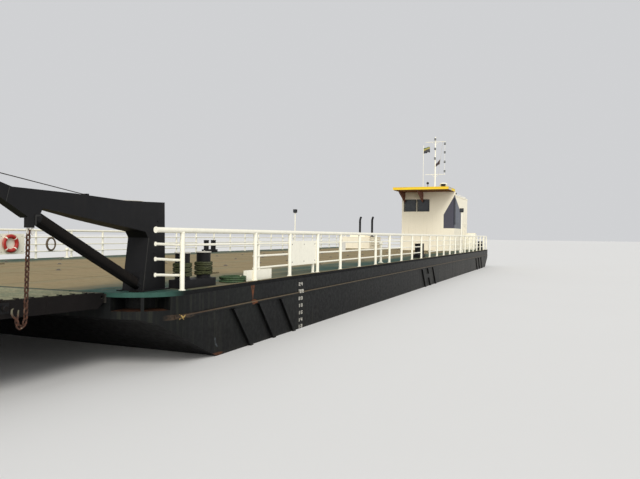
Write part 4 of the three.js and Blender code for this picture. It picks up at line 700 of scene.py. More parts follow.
def make_bollards(name, side_name, side):
    station, y = BOLLARD_PAIRS[name]
    middle, y = -station, side * y
    post, cap, top, base = (BOLLARD[key] for key in ("post", "cap", "height", "base"))
    reach, half, away = BOLLARD["pitch"] / 2 + BOLLARD["past"], BOLLARD["half"], BOLLARD["pitch"] / 2
    pair = Piece().box(middle - reach, middle + reach, y - half, y + half, 0.002, base)
    pair.box(middle - reach + 0.03, middle + reach - 0.03, y - half - 0.005, y + half + 0.005, 0.002, 0.02)
    rims = Piece()
    for x in (middle - away, middle + away):
        profile = [(post + 0.018, 0), (post, 0.018), (post, top - base - 0.05), (post + 0.004, top - base - 0.03)]
        pair.lathe(profile, (x, y, base), 32)
        plate = [(cap - 0.004, -0.03), (cap, -0.026), (cap, -0.005), (cap - 0.006, 0)]
        pair.lathe(plate, (x, y, top), 32)
        worn = [(cap - 0.01, -0.022), (cap + 0.002, -0.02), (cap + 0.002, -0.002), (cap - 0.006, 0.003)]
        rims.lathe(worn, (x, y, top - 0.001), 32)
    pair.make(f"bollard_pair_{name}_{side_name}", "arm_paint", [f"bollards_{name}_{side_name}"], bevel=0.006)
    rims.tube([(middle - away + 0.05, y + 0.04, 0.768), (middle - away - 0.06, y - 0.01, 0.768)], 0.011, 8)
    paint = PALE_STEEL if name == "bow" else "arm_paint"
    rims.make(f"bollard_caps_{name}_{side_name}", "wire_steel", paint=paint)


for pair_name in BOLLARD_PAIRS:
    for side_name, side in SIDES:
        make_bollards(pair_name, side_name, side)


# Railings of round pipe, with flared flanges at the forward ends and feet welded to the deck
RAIL_Y = 7.0
RAIL = {"height": 1.22, "top": 0.05, "post": 0.049, "middle": 0.0265, "first": -3.9, "last": 44.0,
    "second": -3.82}
MIDDLE_IN = 0.0673
POSTS = [-3.05] + [2.0 * i for i in range(23)]
LOW_SPANS = ((RAIL["second"], -3.05), (0.03, 18), (20.03, 44.0))
MIDDLE_RAILS = ((0.92, 0.03, ((RAIL["second"], -3.05), (-3.05, 44.0))), (0.61, 0.05, LOW_SPANS),
    (0.305, 0.05, LOW_SPANS))
STERN_POSTS = (-6.8, -4.6, -2.3, 0, 2.3, 4.6, 6.8)


def add_post(rails, x, y):
    rails.post(x, y, 0.004, RAIL["height"] - 0.03, RAIL["post"], 16)
    rails.lathe([(0.072, 0), (0.072, 0.008), (0.052, 0.022)], (x, y, 0.002), 16)
    rails.lathe([(0.049, 0), (0.056, 0.016), (0.049, 0.03)], (x, y, RAIL["height"] - 0.075), 16)


def add_flange(rails, station, y, height, radius):
    """An upright oval plate about as wide as the pipe, over its open end."""
    oval = ring_points((-station, y, height), (0.92 * radius, 0.78 * radius + 0.0205), 24, "x")
    rails.slab([(p.y, p.z) for p in oval], -station - 0.01, 0.012 - station, "yz")


def side_rails(side):
    y, inboard, top = side * RAIL_Y, side * (RAIL_Y - MIDDLE_IN), RAIL["height"]
    rails = Piece().tube([(-RAIL["first"], y, top), (-RAIL["last"], y, top)], RAIL["top"], 20)
    add_flange(rails, RAIL["first"], y, top, RAIL["top"])
    for station in POSTS:
        add_post(rails, -station, y)
    for height, bend, spans in MIDDLE_RAILS:
        for first, last in spans:
            run = [(first, 0), (last, 0)]
            if first == RAIL["second"]:
                run = [(first, bend), (-3.62, bend * 0.78), (-3.35, bend * 0.36), (last, 0)]
            rails.tube([(-s, inboard, height + rise) for s, rise in run], RAIL["middle"], 14)
            if first == RAIL["second"]:
                add_flange(rails, first, inboard, height + bend, RAIL["middle"])
            for station in (s for s in POSTS if first - 0.05 <= s <= last):
                x = -max(station, first + 0.01)
                rails.tube([(x, y, height), (x, inboard + side * 0.01, height)], 0.017, 8)
    for station in range(5, 43, 6):
        for height, radius, line in ((top, RAIL["top"], y), (0.92, RAIL["middle"], inboard)):
            rails.collar(radius, radius + 0.003, 0.012, 0.005, (-station, line, height), 16, axis="x")
    return rails


def make_railings():
    for side_name, side in SIDES:
        rails = side_rails(side)
        if side > 0:
            y = RAIL_Y - MIDDLE_IN - 0.02
            for station, foot, head, radius in ((0.32, 0.26, 0.98, 0.04), (3.84, 0.004, 0.32, 0.042)):
                rails.post(-station, y, foot, head, radius, 16)
                rails.lathe([(radius + 0.02, 0), (radius + 0.001, 0.018)], (-station, y, foot), 16)
            rails.box(-0.44, -0.22, y - 0.05, y + 0.03, 0.962, 0.99)
        rails.make("pipe_railing_" + side_name, "rail_white", ["railing_" + side_name], angle=40)
    x, end = -RAIL["last"], RAIL_Y - 0.12
    inboard = x + MIDDLE_IN
    stern = Piece().tube([(x, -end, RAIL["height"]), (x, end, RAIL["height"])], RAIL["top"], 20)
    for y in STERN_POSTS:
        add_post(stern, x, y)
    for height, _, _ in MIDDLE_RAILS:
        stern.tube([(inboard, -end, height), (inboard, end, height)], RAIL["middle"], 14)
        for y in STERN_POSTS:
            stern.tube([(x, y, height), (inboard - 0.01, y, height)], 0.017, 8)
    stern.make("pipe_railing_stern", "rail_white", ["railing_stern"], angle=40)


def make_rail_fittings():
    plate = Piece().box(-6.65, -6.05, 6.917, 6.945, 0.6, 0.93)
    for dx in (-0.24, 0.24):
        for height in (0.64, 0.89):
            plate.disc((-6.35 + dx, 6.945, height), 0.014, 0.008, 10, axis="y")
    plate.make("small_plate", "rail_white", paint=WHITE_MARK, bevel=0.004)
    loop = Piece()
    for reach, y in (((0.24, 0.28), -6.86), ((0.225, 0.262), -6.84)):
        loop.tube(ring_points((-6.68, y, 0.62), reach, 40), 0.034, 10, closed=True)
    loop.make("hung_loop", "lamp_black", paint=HEMP)
    screws = Piece()
    for first, last, y, low, high in ((2.07, 3.93, 6.985, 0.28, 0.98), (4.06, 5.3, -6.88, 0.22, 1.06)):
        for station in (first + 0.12, (first + last) / 2, last - 0.12):
            for height in (low + 0.1, high - 0.1):
                screws.disc((-station, y, height), 0.018, 0.006, 10, axis="y")
    screws.make("board_screws", "wire_steel", paint=BARE_STEEL)


make_railings()
make_rail_fittings()


# Life ring: a red ring with white bands, a grab line, and the line that holds it to its board
RING = {"station": 4.58, "height": 0.66, "y": -6.8236, "radius": 0.3, "section": 0.08}


def make_life_ring():
    x, y, z = centre = -RING["station"], RING["y"], RING["height"]
    radius, section = RING["radius"], RING["section"]
    ring = Piece().tube(ring_points(centre, radius, 64), section - 0.002, 20, closed=True)
    ring.make("ring_buoy", "ring_red", ["life_ring"])
    bands, line = Piece(), Piece()
    for i in range(4):
        middle = radians(45 + 90 * i)
        band = ring_points(centre, radius, 9, start=middle - 0.075, turn=0.15)
        bands.tube(band, section + 0.002, 20)
        slack = []
        for k in range(17):
            a = middle + radians(90) * k / 16
            bow = radius + section + 0.012 - 0.02 * sin(pi * k / 16) ** 2
            slack.append((x + bow * cos(a), y + 0.02, z + bow * sin(a)))
        line.tube(slack, 0.009, 8)
    top = z + radius + section * 0.6
    line.tube([(x + 0.02, y - 0.07, top - 0.05), (x + 0.01, y - 0.1, 1.08), (x, -6.93, 1.2)], 0.007, 8)
    bands.make("ring_bands", "rail_white")
    line.make("ring_line", "mooring_rope", paint=TWINE)


make_life_ring()


# Bow arms: fittings on the plate boxes, the braces' ends, chains, wires and sheaves
HEAD_Y = 6.4
ARM = {"outer": 6.5, "inner": 6.0}
# Painted shade on the brace's faces that look down, dimmed to 0.3 of the colour.
BRACE_PAINT = worn_paint("brace_paint", (0.0095, 0.008, 0.0072), (0.04, 0.03, 0.022), 0.3, 0.04, 0.65, 1.5, 0.08,
    0.3)
SHEAVE = {"station": -8.06, "height": 2.05, "radius": 0.153, "half": 0.052}
CHAIN_Y = 6.46
CHAIN = {"pitch": 0.082, "length": 0.128, "wide": 0.084, "wire": 0.0145}
CHAIN_ROUTE = ((-6.33, 1.19), (-6.37, -0.2), (-6.4, -0.295), (-6.46, -0.335), (-6.515, -0.29), (-6.535, -0.2))
HOOKS = (((-6.535, -0.22), (-6.55, -0.18), (-6.6, -0.14), (-6.623, -0.09), (-6.62, -0.04), (-6.595, -0.02)),
    ((-6.535, -0.21), (-6.515, -0.17), (-6.508, -0.12), (-6.5, -0.05)))


def make_chain(side_name, side):
    y = side * CHAIN_Y
    route = [Vector((-s, y, h)) for s, h in CHAIN_ROUTE]
    total = sum((b - a).length for a, b in zip(route, route[1:]))
    outward = Vector((0, 1, 0))
    chain = Piece()
    for i, (place, way) in enumerate(along_route(route, round(total / CHAIN["pitch"]))):
        across = way.cross(outward).normalized() if i % 2 else outward
        chain.link(place, way, across, CHAIN["length"], CHAIN["wide"], CHAIN["wire"])
    for hook in HOOKS:
        chain.tube([(-s, y, h) for s, h in hook], 0.016, 10, radii=[0.017] * (len(hook) - 2) + [0.014, 0.009])
    chain.make("tie_chain_" + side_name, "rusty_chain", ["securing_chain_" + side_name], angle=60)
    shackle = Piece()
    bow = ring_points((6.33, y, 1.15), (0.028, -0.03), 9, turn=pi)
    shackle.tube([(6.358, y, 1.21), *bow, (6.302, y, 1.21)], 0.013, 10)
    shackle.tube([(6.33, y - 0.038, 1.198), (6.33, y + 0.038, 1.198)], 0.015, 10)
    shackle.tube(ring_points((6.272, y + side * 0.02, 1.16), (0.018, 0.058), 24), 0.007, 8, closed=True)
    shackle.make("chain_shackle_" + side_name, "wire_steel", paint=PALE_STEEL)


def make_wires(side_name, side):
    """Two thin wires side by side, over the sheave and down to a socket beside the ramp's eye."""
    x, z, half, rim = -SHEAVE["station"], SHEAVE["height"], SHEAVE["half"], SHEAVE["radius"]
    wrap = rim - 0.03 + 0.012
    lead, eye = Vector((5.1, 0, 1.815)), Vector((11.3, 0, 0.073))
    first, last = (atan2(p.z - z, p.x - x) - turn * acos(wrap / hypot(p.x - x, p.z - z))
        for p, turn in ((lead, 1), (eye, -1)))
    y = side * HEAD_Y
    angles = [first + (last - first) * k / 12 for k in range(13)]
    bend = [Vector((x + wrap * cos(a), 0, z + wrap * sin(a))) for a in angles]
    wires = Piece()
    for dy in (-0.0075, 0.0075):
        wires.tube([(p.x, y + dy, p.z) for p in (lead, *bend, eye)], 0.0065, 10, strands=(6, 0.15, 0.4))
    for point, toward, size in ((eye, bend[-1], 0.028), (lead, bend[0], 0.009)):
        way = (toward - point).normalized()
        places = [point + way * reach for reach in (-0.02, 0.04, 0.14)]
        wires.tube([(p.x, y, p.z) for p in places], size, 12, radii=[size, size, size * 0.55])
    wires.make("hoist_wires_" + side_name, "wire_steel", ["hoist_wire_" + side_name], angle=50)
    groove = [(0.02, half), (rim - 0.004, half), (rim, half - 0.006), (rim, half - 0.012), (rim - 0.032, 0.014)]
    rows = [(r, -h) for r, h in groove] + groove[::-1]
    wheel = Piece().lathe(rows, (x, y, z), 40, axis="y")
    for end in (-1, 1):
        wheel.disc((x, y + end * 0.088, z), 0.045, 0.012 * end, 6, axis="y")
    wheel.make("sheave_wheel_" + side_name, "wire_steel", paint=BARE_STEEL)


def make_arm_fittings(side_name, side):
    outer, inner = side * ARM["outer"], side * ARM["inner"]
    fittings = Piece()
    seam = [(6.765, 1.6), (6.778, 1.6), (6.718, 1.83), (6.705, 1.83)]
    fittings.slab(seam, outer, outer + side * 0.006, number=1)
    top = [(4.12, 1.764), (3.63, 1.776), (3.63, 1.788), (4.12, 1.776)]
    fittings.slab(top, outer - side * 0.24, outer - side * 0.01, number=2)
    for y0, y1 in ((outer - side * 0.03, outer + side * 0.07), (inner - side * 0.07, inner + side * 0.03)):
        fittings.box(2.86, 3.75, y0, y1, 0.001, 0.022)
    edge = [(3.655, 0.02), (3.497, 1.06), (3.475, 1.055), (3.633, 0.015)]
    fittings.slab(edge, outer, outer + side * 0.008, number=1)
    for x, height in ((3.35, 0.35), (3.3, 0.75), (3.2, 1.4)):
        fittings.disc((x, outer, height), 0.02, side * 0.012, 12, axis="y")
    brace = Vector((6.115, side * HEAD_Y, 1.36))
    way = Vector((1.942, 0, 0.978)).normalized()
    band = [brace - way * back for back in (1.2, 1.19, 1.18)]
    cap = Piece().tube(band, 0, 28, radii=[0.108, 0.111, 0.108])
    cap.tube([brace - way * 0.01, brace - way * 2.6], 0.1075, 28)
    rim = [(6.243, 1.405), (6.243, 1.26), (6.222, 1.26), (6.222, 1.392), (6.14, 1.404), (6.14, 1.424),
        (6.225, 1.424)]
    cap.slab(rim, outer - side * 0.02, outer + side * 0.012, number=1)
    foot = (brace - way * 2.66).x
    cap.box(foot - 0.05, foot + 0.08, side * 6.3, side * 6.504, 0.002, 0.02)
    fittings.make("arm_fittings_" + side_name, "arm_paint", paint=["arm_paint", SCUFFED, PALE_STEEL], bevel=0.003)
    cap.make("brace_pipe_" + side_name, "arm_paint", paint=[BRACE_PAINT, SCUFFED])


for side_name, side in SIDES:
    make_chain(side_name, side)
    make_wires(side_name, side)
    make_arm_fittings(side_name, side)


# Hull marks: draught figures in decimetres, and anodes below the water
FIGURES = {
    "1": ((0.4, 0, 0.64, 1),),
    "0": ((0, 0, 0.22, 1), (0.78, 0, 1, 1), (0, 0, 1, 0.2), (0, 0.8, 1, 1)),
    "2": ((0, 0.8, 1, 1), (0.78, 0.45, 1, 1), (0, 0.4, 1, 0.6), (0, 0, 0.22, 0.55), (0, 0, 1, 0.2)),
    "4": ((0, 0.4, 0.22, 1), (0.6, 0, 0.82, 1), (0, 0.35, 1, 0.55)),
    "6": ((0, 0, 0.22, 1), (0, 0.8, 1, 1), (0, 0.42, 1, 0.6), (0.78, 0, 1, 0.6), (0, 0, 1, 0.2)),
    "8": ((0, 0, 0.22, 1), (0.78, 0, 1, 1), (0, 0, 1, 0.2), (0, 0.8, 1, 1), (0, 0.42, 1, 0.6)),
}
DRAUGHT_MARKS = (("24", -0.257), ("22", -0.46), ("20", -0.665), ("18", -0.87), ("16", -1.075), ("14", -1.28),
    ("12", -1.469))


def make_hull_marks():
    marks = Piece()
    for _, side in SIDES:
        for text, height in DRAUGHT_MARKS:
            wide, high, pitch = 0.11, 0.095, 0.16
            low = height - high / 2
            on_strake = 0.035 if height == -0.46 else 0.0
            for place, figure in ((-0.5, text[0]), (0.5, text[1])):
                for x0, z0, x1, z1 in FIGURES[figure]:
                    xs = [-2.54 - side * (place * pitch + wide * (x - 0.5)) for x in (x0, x1)]
                    marks.box(xs[0], xs[1], side * 7.0985, side * (7.104 + on_strake), low + z0 * high,
                        low + z1 * high)
    marks.make("draught_marks", "rail_white", paint=WHITE_MARK)
    anodes = Piece()
    for _, side in SIDES:
        for station in (8.0, 14.0, 24.0, 30.0, 35.0):
            for low, high, length in ((-1.98, -1.9, 0.28), (-1.965, -1.915, 0.38)):
                anodes.box(-station - length, -station + length, side * 7.0, side * 7.135, low, high)
    anodes.make("hull_anodes", "wire_steel", paint=BARE_STEEL, bevel=0.012)


make_hull_marks()


# Deck: plate seams, lashing points, manholes and the small things near the bow
def make_deck_fittings():
    seams = Piece()
    for station in range(-1, 44, 3):
        seams.box(-station - 0.008, -station + 0.008, -6.75, 6.75, 0.0, 0.004)
    for y in (-5.6, -2.8, 0.0, 2.8, 5.6):
        seams.box(-34.5, 3.8, y - 0.007, y + 0.007, 0.0, 0.0035)
    seams.make("deck_seams", "deck_paint", paint=EDGE_DUST)
    lashings = Piece()
    for i in range(13):
        for y in (-5.3, -2.65, 0.0, 2.65, 5.3):
            x = -(0.5 + 2.6 * i)
            lashings.disc((x, y, 0.001), 0.085, 0.012, 20)
            bow = ((-0.06, 0.012), (-0.05, 0.03), (0.05, 0.03), (0.06, 0.012))
            lashings.tube([(x + dx, y, z) for dx, z in bow], 0.012, 8)
            for dy in (-0.045, 0.045):
                lashings.tube([(x, y + dy, 0.012), (x, y + dy * 0.9, 0.028), (x, y, 0.034)], 0.008, 6)
    lashings.make("lashing_points", "wire_steel", paint=BARE_STEEL)
    holes = Piece()
    for x in (-1.9, -10.0, -21.0, -31.0):
        for y in (4.4, -4.4):
            holes.disc((x, y, 0.001), 0.31, 0.02, 40)
            holes.disc((x, y, 0.02), 0.25, 0.014, 36)
            holes.bolts((x, y, 0.018), 0.28, 16, 0.014, 0.016)
            for dx in (-0.1, 0.1):
                handle = ((-0.05, 0.03), (-0.05, 0.055), (0.05, 0.055), (0.05, 0.03))
                holes.tube([(x + dx, y + dy, z) for dy, z in handle], 0.008, 8)
    holes.make("manholes", "deck_paint")
    coaming = Piece()
    for _, side in SIDES:
        coaming.box(-44.2, 2.2, side * 7.045, side * 7.094, 0.0005, 0.012)
    coaming.make("deck_edge_bars", "deck_paint", paint=EDGE_DUST, bevel=0.003)


make_deck_fittings()


# Bow ramp: edge bars, toe plate and the hinge's knuckles
RAMP_SLOPE = 1.4


def make_ramp_fittings():
    tilt = radians(RAMP_SLOPE)
    x0, z0 = 4.22, -0.08
    fittings = Piece()

    def lift(d, z):
        """A place on the ramp, from its distance ahead of the bow face and its level height."""
        dx, dz = d - 0.12, z - z0
        return x0 + dx * cos(tilt) - dz * sin(tilt), z0 + dx * sin(tilt) + dz * cos(tilt)

    def strip(d0, d1, low0, low1, high0, high1, y0, y1):
        """A flat bar along the ramp, from its under edge's and upper edge's heights at both ends."""
        fittings.slab([lift(d0, low0), lift(d1, low1), lift(d1, high1), lift(d0, high0)], y0, y1)

    for _, side in SIDES:
        strip(0.3, 7.4, -0.001, -0.001, 0.014, 0.014, side * 5.95, side * 5.995)
        for d in (1.4, 2.8, 4.2, 5.6):
            strip(d, d + 0.04, -0.29, -0.29, -0.02, -0.02, side * 5.99, side * 6.004)
        strip(0.3, 6.6, -0.29, -0.27, -0.27, -0.25, side * 5.99, side * 6.006)
    strip(7.55, 7.93, -0.015, -0.023, -0.004, -0.012, -5.98, 5.98)
    for y in (-4.0, -2.0, 0.0, 2.0, 4.0):
        strip(0.3, 6.6, -0.302, -0.262, -0.29, -0.25, y - 0.06, y + 0.06)
    fittings.make("ramp_edges", "deck_paint", paint=RAMP_PAINT, body="ramp")
    eyes = Piece()
    for _, side in SIDES:
        for d, height, reach in ((2.3, -0.12, 0.09), (7.2, -0.1, 0.36)):
            x, z = lift(d, height)
            ring = [(0.047, 0.0), (0.052, 0.006), (0.052, 0.016), (0.044, 0.022)]
            eyes.lathe(outboard(ring, side), (x, side * (5.975 + reach), z), 20, axis="y")
            eyes.box(x - 0.11, x + 0.11, side * 5.99, side * 6.014, z - 0.09, z + 0.09)
    eyes.make("ramp_eye_plates", "wire_steel", paint="arm_paint", body="ramp", bevel=0.004)
    hinge = Piece()
    for y in (-5.2, -3.1, -1.05, 1.05, 3.1, 5.2):
        for dy in (-0.047, 0.047):
            hinge.collar(0.058, 0.066, 0.011, 0.005, (x0, y + dy, z0), 24, axis="y")
    hinge.make("hinge_collars", "wire_steel")


make_ramp_fittings()


# Tank vents and deck floodlights
def make_vents():
    for name, station, y, height in (("port", 11.69, 6.71, 0.9), ("starboard", 7.36, -6.62, 0.45)):
        profile = [(0.108, 0.0), (0.108, 0.022), (0.06, 0.03), (0.052, 0.042), (0.05, 0.06)]
        head = ((0.05, 0.135), (0.062, 0.13), (0.082, 0.115), (0.084, 0.09), (0.084, 0.035), (0.07, 0.014),
            (0.04, 0.002))
        profile += [(r, height - down) for r, down in head]
        vent = Piece().lathe(profile, (-station, y, 0.002), 32)
        vent.bolts((-station, y, 0.022), 0.085, 6, 0.011, 0.012)
        for down in (0.105, 0.085):
            vent.lathe([(0.083, -0.004), (0.0865, 0), (0.083, 0.004)], (-station, y, height - down), 32)
        vent.make("vent_pipe_" + name, "rail_white", ["tank_vent_" + name])


def make_floodlights():
    lamp, foot, low, high = 0.132, 0.138, 2.98, 3.25
    for side_name, side in SIDES:
        x, y = -31.8, side * 6.76
        stand = Piece().box(x - foot, x + foot, y - foot, y + foot, 0.002, 0.198)
        stand.post(x, y, 0.19, low - 0.02, 0.048, 18)
        stand.lathe([(0.075, 0), (0.05, 0.03)], (x, y, 0.197), 18)
        for height in (1.0, 2.0):
            stand.collar(0.049, 0.055, 0.02, 0.015, (x, y, height), 18)
        stand.make("flood_stand_" + side_name, "rail_white", ["floodlight_" + side_name], bevel=0.008)
        back, front, y0, y1 = x - lamp, x + lamp, y - lamp, y + lamp
        head = Piece().box(back + 0.012, front - 0.02, y0, y1, low + 0.01, high)
        for fin in (y0 + 0.03 + k * 0.034 for k in range(7)):
            head.box(back, back + 0.02, fin - 0.005, fin + 0.005, low + 0.04, high - 0.03)
        for b0, b1, z0, z1 in ((y0, y1, low + 0.01, low + 0.03), (y0, y1, high - 0.022, high),
                (y0, y0 + 0.02, low + 0.01, high), (y1 - 0.02, y1, low + 0.01, high)):
            head.box(front - 0.025, front, b0, b1, z0, z1)
        head.box(x - 0.03, x + 0.03, y0 - 0.002, y1 + 0.002, low - 0.025, low + 0.02)
        cable = ((0.05, low + 0.02), (0.056, 2.8), (0.054, 1.4), (0.05, 0.2))
        head.tube([(x - off, y, z) for off, z in cable], 0.008, 8)
        head.make("flood_head_" + side_name, "lamp_black", bevel=0.004)
        lens = Piece().box(front - 0.024, front - 0.012, y0 + 0.02, y1 - 0.02, low + 0.03, high - 0.022)
        for z in (low + 0.06 + 0.04 * k for k in range(5)):
            lens.tube([(front - 0.013, y0 + 0.025, z), (front - 0.013, y1 - 0.025, z)], 0.004, 6)
        lens.make("flood_lens_" + side_name, "window_glass")


def lens_glass():
    g = Graph("lens")
    ribs = g.noise(30, 3, 0.6)
    colour = g.tones(ribs, 0.35, 0.65, (0.34, 0.36, 0.36), (0.5, 0.52, 0.5))
    return g.finish(colour, g.step(ribs, 0.2, 0.8, 0.08, 0.2), 0.0, ribs, 0.001, 0.3, Coat_Weight=0.5)


LENS = lens_glass()
make_vents()
make_floodlights()


# Deckhouse: frames round the openings, gutters, rails, lamps and the helm
def frame_bars(piece, face, outward, a0, a1, z0, z1, along, wide=0.05, proud=0.022):
    """A raised frame round an opening in a wall. along is y for a wall across the barge, x for a side."""
    low, high = sorted((face, face + outward * proud))
    strips = [(a0 - wide, a1 + wide, z1, z1 + wide), (a0 - wide, a1 + wide, z0 - wide, z0),
        (a0 - wide, a0, z0, z1), (a1, a1 + wide, z0, z1)]
    for b0, b1, c0, c1 in strips:
        if along == "y":
            piece.box(low, high, b0, b1, c0, c1)
        else:
            piece.box(b0, b1, low, high, c0, c1)


def make_house_trim():
    front, aft, port, starboard, roof = (HOUSE[k] for k in ("front", "aft", "port", "starboard", "roof"))
    gaskets = Piece()
    for a in (1.35, 2.45):
        frame_bars(gaskets, -front, 1, a, a + 0.95, 3.25, 4.15, "y")
    for a in (-37.9, -39.8):
        frame_bars(gaskets, starboard, -1, a, a + 1.4, 3.25, 4.15, "x")
    gaskets.make("window_frames", "lamp_black", paint=RUBBER, bevel=0.004)
    trim = Piece()
    frame_bars(trim, port, 1, -41.365, -40.485, 0.135, 2.065, "x", 0.05, 0.014)
    frame_bars(trim, -aft, -1, 3.885, 4.715, 2.485, 4.315, "y", 0.05, 0.014)
    for y, out, seams in ((port, 1, (37.6, 40.2)), (starboard, -1, (37.0, 38.15, 40.2))):
        for z0, z1, reach in ((2.24, 2.3, 0.02), (0.02, 0.12, 0.012), (4.46, 4.53, 0.03)):
            trim.box(-aft, -front, y, y + out * reach, z0, z1)
        for station in seams:
            trim.box(-station - 0.012, -station + 0.012, y, y + out * 0.008, 0.12, 2.24)
    for z0, z1, reach in ((2.24, 2.3, 0.02), (4.46, 4.53, 0.03)):
        trim.box(-aft - reach, -aft, starboard, port, z0, z1)
    for y in (2.0, 2.9):
        trim.box(-front, -front + 0.008, y - 0.012, y + 0.012, 0.12, 2.24)
    for z in (0.42 + 0.09 * k for k in range(5)):
        trim.box(-37.2, -36.5, port, port + 0.012, z, z + 0.045)
    for station in (36.6, 39.0, 41.6):
        trim.post(-station, port + 0.035, 4.5, 4.42, 0.02, 10)
    trim.make("house_trim", "house_cream", bevel=0.003)
    roof_rail = Piece()
    x0, x1, y0, y1 = -aft + 0.12, -37.2, starboard + 0.12, port - 0.12
    corners = [(x1, y0), (x0, y0), (x0, y1), (x1, y1)]
    for (ax, ay), (bx, by) in zip(corners, corners[1:]):
        roof_rail.tube([(ax, ay, roof + 0.14), (bx, by, roof + 0.14)], 0.018, 10)
        for k in range(4):
            x, y = ax + (bx - ax) * k / 3, ay + (by - ay) * k / 3
            roof_rail.post(x, y, roof - 0.005, roof + 0.14, 0.012, 8)
    roof_rail.make("roof_hand_rail", "rail_white")
    lamps = Piece()
    for y, out in ((port, 1), (starboard, -1)):
        lamps.box(-36.35, -36.05, y, y + out * 0.03, 4.55, 4.78, 1)
        lamps.box(-36.25, -36.15, y + out * 0.002, y + out * 0.1, 4.6, 4.72)
    lamps.lathe([(0.055, 0), (0.06, 0.02), (0.045, 0.06), (0.02, 0.075)], (-aft - 0.01, 5.2, 4.38), 16)
    lamps.make("side_lamps", "lamp_black", paint=["lamp_black", "house_cream"], bevel=0.004)


def make_door_fittings():
    x0, x1, face = -41.35, -40.5, HOUSE["port"]
    leaf = Piece()
    for z0, z1 in ((0.28, 0.95), (1.25, 1.92)):
        leaf.box(x0 + 0.12, x1 - 0.14, face - 0.001, face + 0.008, z0, z1)
        leaf.box(x0 + 0.16, x1 - 0.18, face + 0.007, face + 0.011, z0 + 0.04, z1 - 0.04)
    leaf.disc((-40.6, face, 1.1), 0.045, 0.01, 24, axis="y")
    leaf.make("deckhouse_door_fittings", "house_cream", body="deckhouse_door_leaf", bevel=0.003)
    face = -HOUSE["aft"]
    leaf = Piece()
    for y0, y1, z0, z1 in ((4.06, 4.54, 3.36, 3.4), (4.06, 4.54, 4.1, 4.14), (4.06, 4.1, 3.36, 4.14),
            (4.5, 4.54, 3.36, 4.14)):
        leaf.box(face - 0.01, face + 0.002, y0, y1, z0, z1)
    leaf.box(face - 0.008, face + 0.001, 4.06, 4.54, 2.62, 3.2)
    leaf.make("bridge_door_fittings", "house_cream", body="bridge_door_leaf", bevel=0.003)
    pane = Piece().box(face + 0.018, face + 0.026, 4.098, 4.502, 3.398, 4.102)
    pane.box(face + 0.014, face + 0.03, 4.295, 4.305, 3.398, 4.102)
    pane.make("bridge_door_pane", "window_glass", body="bridge_door_leaf")


def make_canopy_trim():
    port, starboard = HOUSE["port"], HOUSE["starboard"]
    ribs = Piece()
    for k in range(4):
        x = -(33.5 + 0.62 * k)
        ribs.box(x - 0.02, x + 0.02, starboard + 0.02, port - 0.02, 4.755, 4.802)
    ribs.make("canopy_ribs", "roof_yellow")
    lip = Piece()
    x0, x1 = -36.05, -33.1
    for y in (port, starboard):
        lip.box(x0, x1, y - 0.012, y + 0.012, 4.975, 5.0)
    lip.box(x1 - 0.012, x1 + 0.012, starboard, port, 4.975, 5.0)
    for y in (2.0, 3.3, 4.6):
        lip.box(x0 + 0.02, x1 - 0.02, y - 0.015, y + 0.015, 4.988, 4.998)
    lip.make("canopy_lip", "roof_yellow", bevel=0.003)


def make_helm():
    helm = Piece()
    x, y, z = -37.03, 3.25, 3.1
    helm.tube(ring_points((x - 0.03, y, z), 0.25, 40, "x"), 0.018, 10, closed=True)
    helm.make("helm_rim", "lamp_black", paint=RUBBER)
    dials = Piece()
    top = -36.35 - 0.6
    for k in range(5):
        place = (top - 0.002, 2.2 + 0.5 * k, 3.02)
        dials.lathe([(0.07, -0.02), (0.075, -0.012), (0.07, 0.0)], place, 24, axis="x")
    dials.make("helm_dials", "window_glass", paint=LENS)


make_house_trim()
make_door_fittings()
make_canopy_trim()
make_helm()


# Signal mast with its yards and lamps, which fold together; radar on the canopy
MAST = {"station": 38.6, "foot": 4.62, "top": 9.75, "radius": 0.058, "tip": 0.038, "y": 3.32}
YARDS = ((9.3, 0.86), (6.5, 0.86))
LAMP = {"radius": 0.088, "half": 0.088}


def make_mast():
    x, y = -MAST["station"], MAST["y"]
    tip, narrow = MAST["top"], MAST["tip"]
    mast = Piece().tube([(x, y, MAST["foot"] + 0.002), (x, y, tip - 0.03), (x, y, tip - 0.002)], 0, 24,
        radii=[MAST["radius"], narrow + 0.001, narrow - 0.012])
    knob = [(0.015, 0), (0.026, 0.004), (0.026, 0.02), (0.018, 0.026)]
    for height, reach in YARDS:
        mast.tube([(x, y - reach, height), (x, y + reach, height)], 0.021, 14)
        mast.collar(0.052, 0.064, 0.05, 0.04, (x, y, height), 20)
        for end in (-1, 1):
            mast.lathe(outboard(knob, end), (x, y + end * (reach - 0.024), height), 14, axis="y")
            mast.tube([(x, y + end * 0.3, height), (x, y + end * 0.04, height - 0.24)], 0.01, 8)
    for height in (5.25, 7.2, 8.1):
        mast.collar(0.05, 0.062, 0.015, 0.01, (x, y, height), 20)
    mast.collar(0.028, 0.032, 0.079, 0.075, (x, y, 4.85), 16, axis="y")
    mast.make("mast_tube", "rail_white", ["signal_mast"], body="folding_mast")
    seat = Piece().box(x - 0.198, x + 0.198, y - 0.198, y + 0.198, 4.552, 4.588)
    cheek = [(x - 0.098, 4.58), (x + 0.118, 4.58), (x + 0.08, 4.99), (x - 0.06, 4.99)]
    for end in (-1, 1):
        seat.slab(cheek, y + end * 0.081, y + end * 0.109)
        seat.disc((x, y + end * 0.109, 4.85), 0.045, end * 0.012, 6, axis="y")
        for dx in (-0.15, 0.15):
            seat.disc((x + dx, y + end * 0.15, 4.588), 0.022, 0.014, 6)
    seat.make("mast_seat", "rail_white", ["mast_tabernacle"], bevel=0.005)


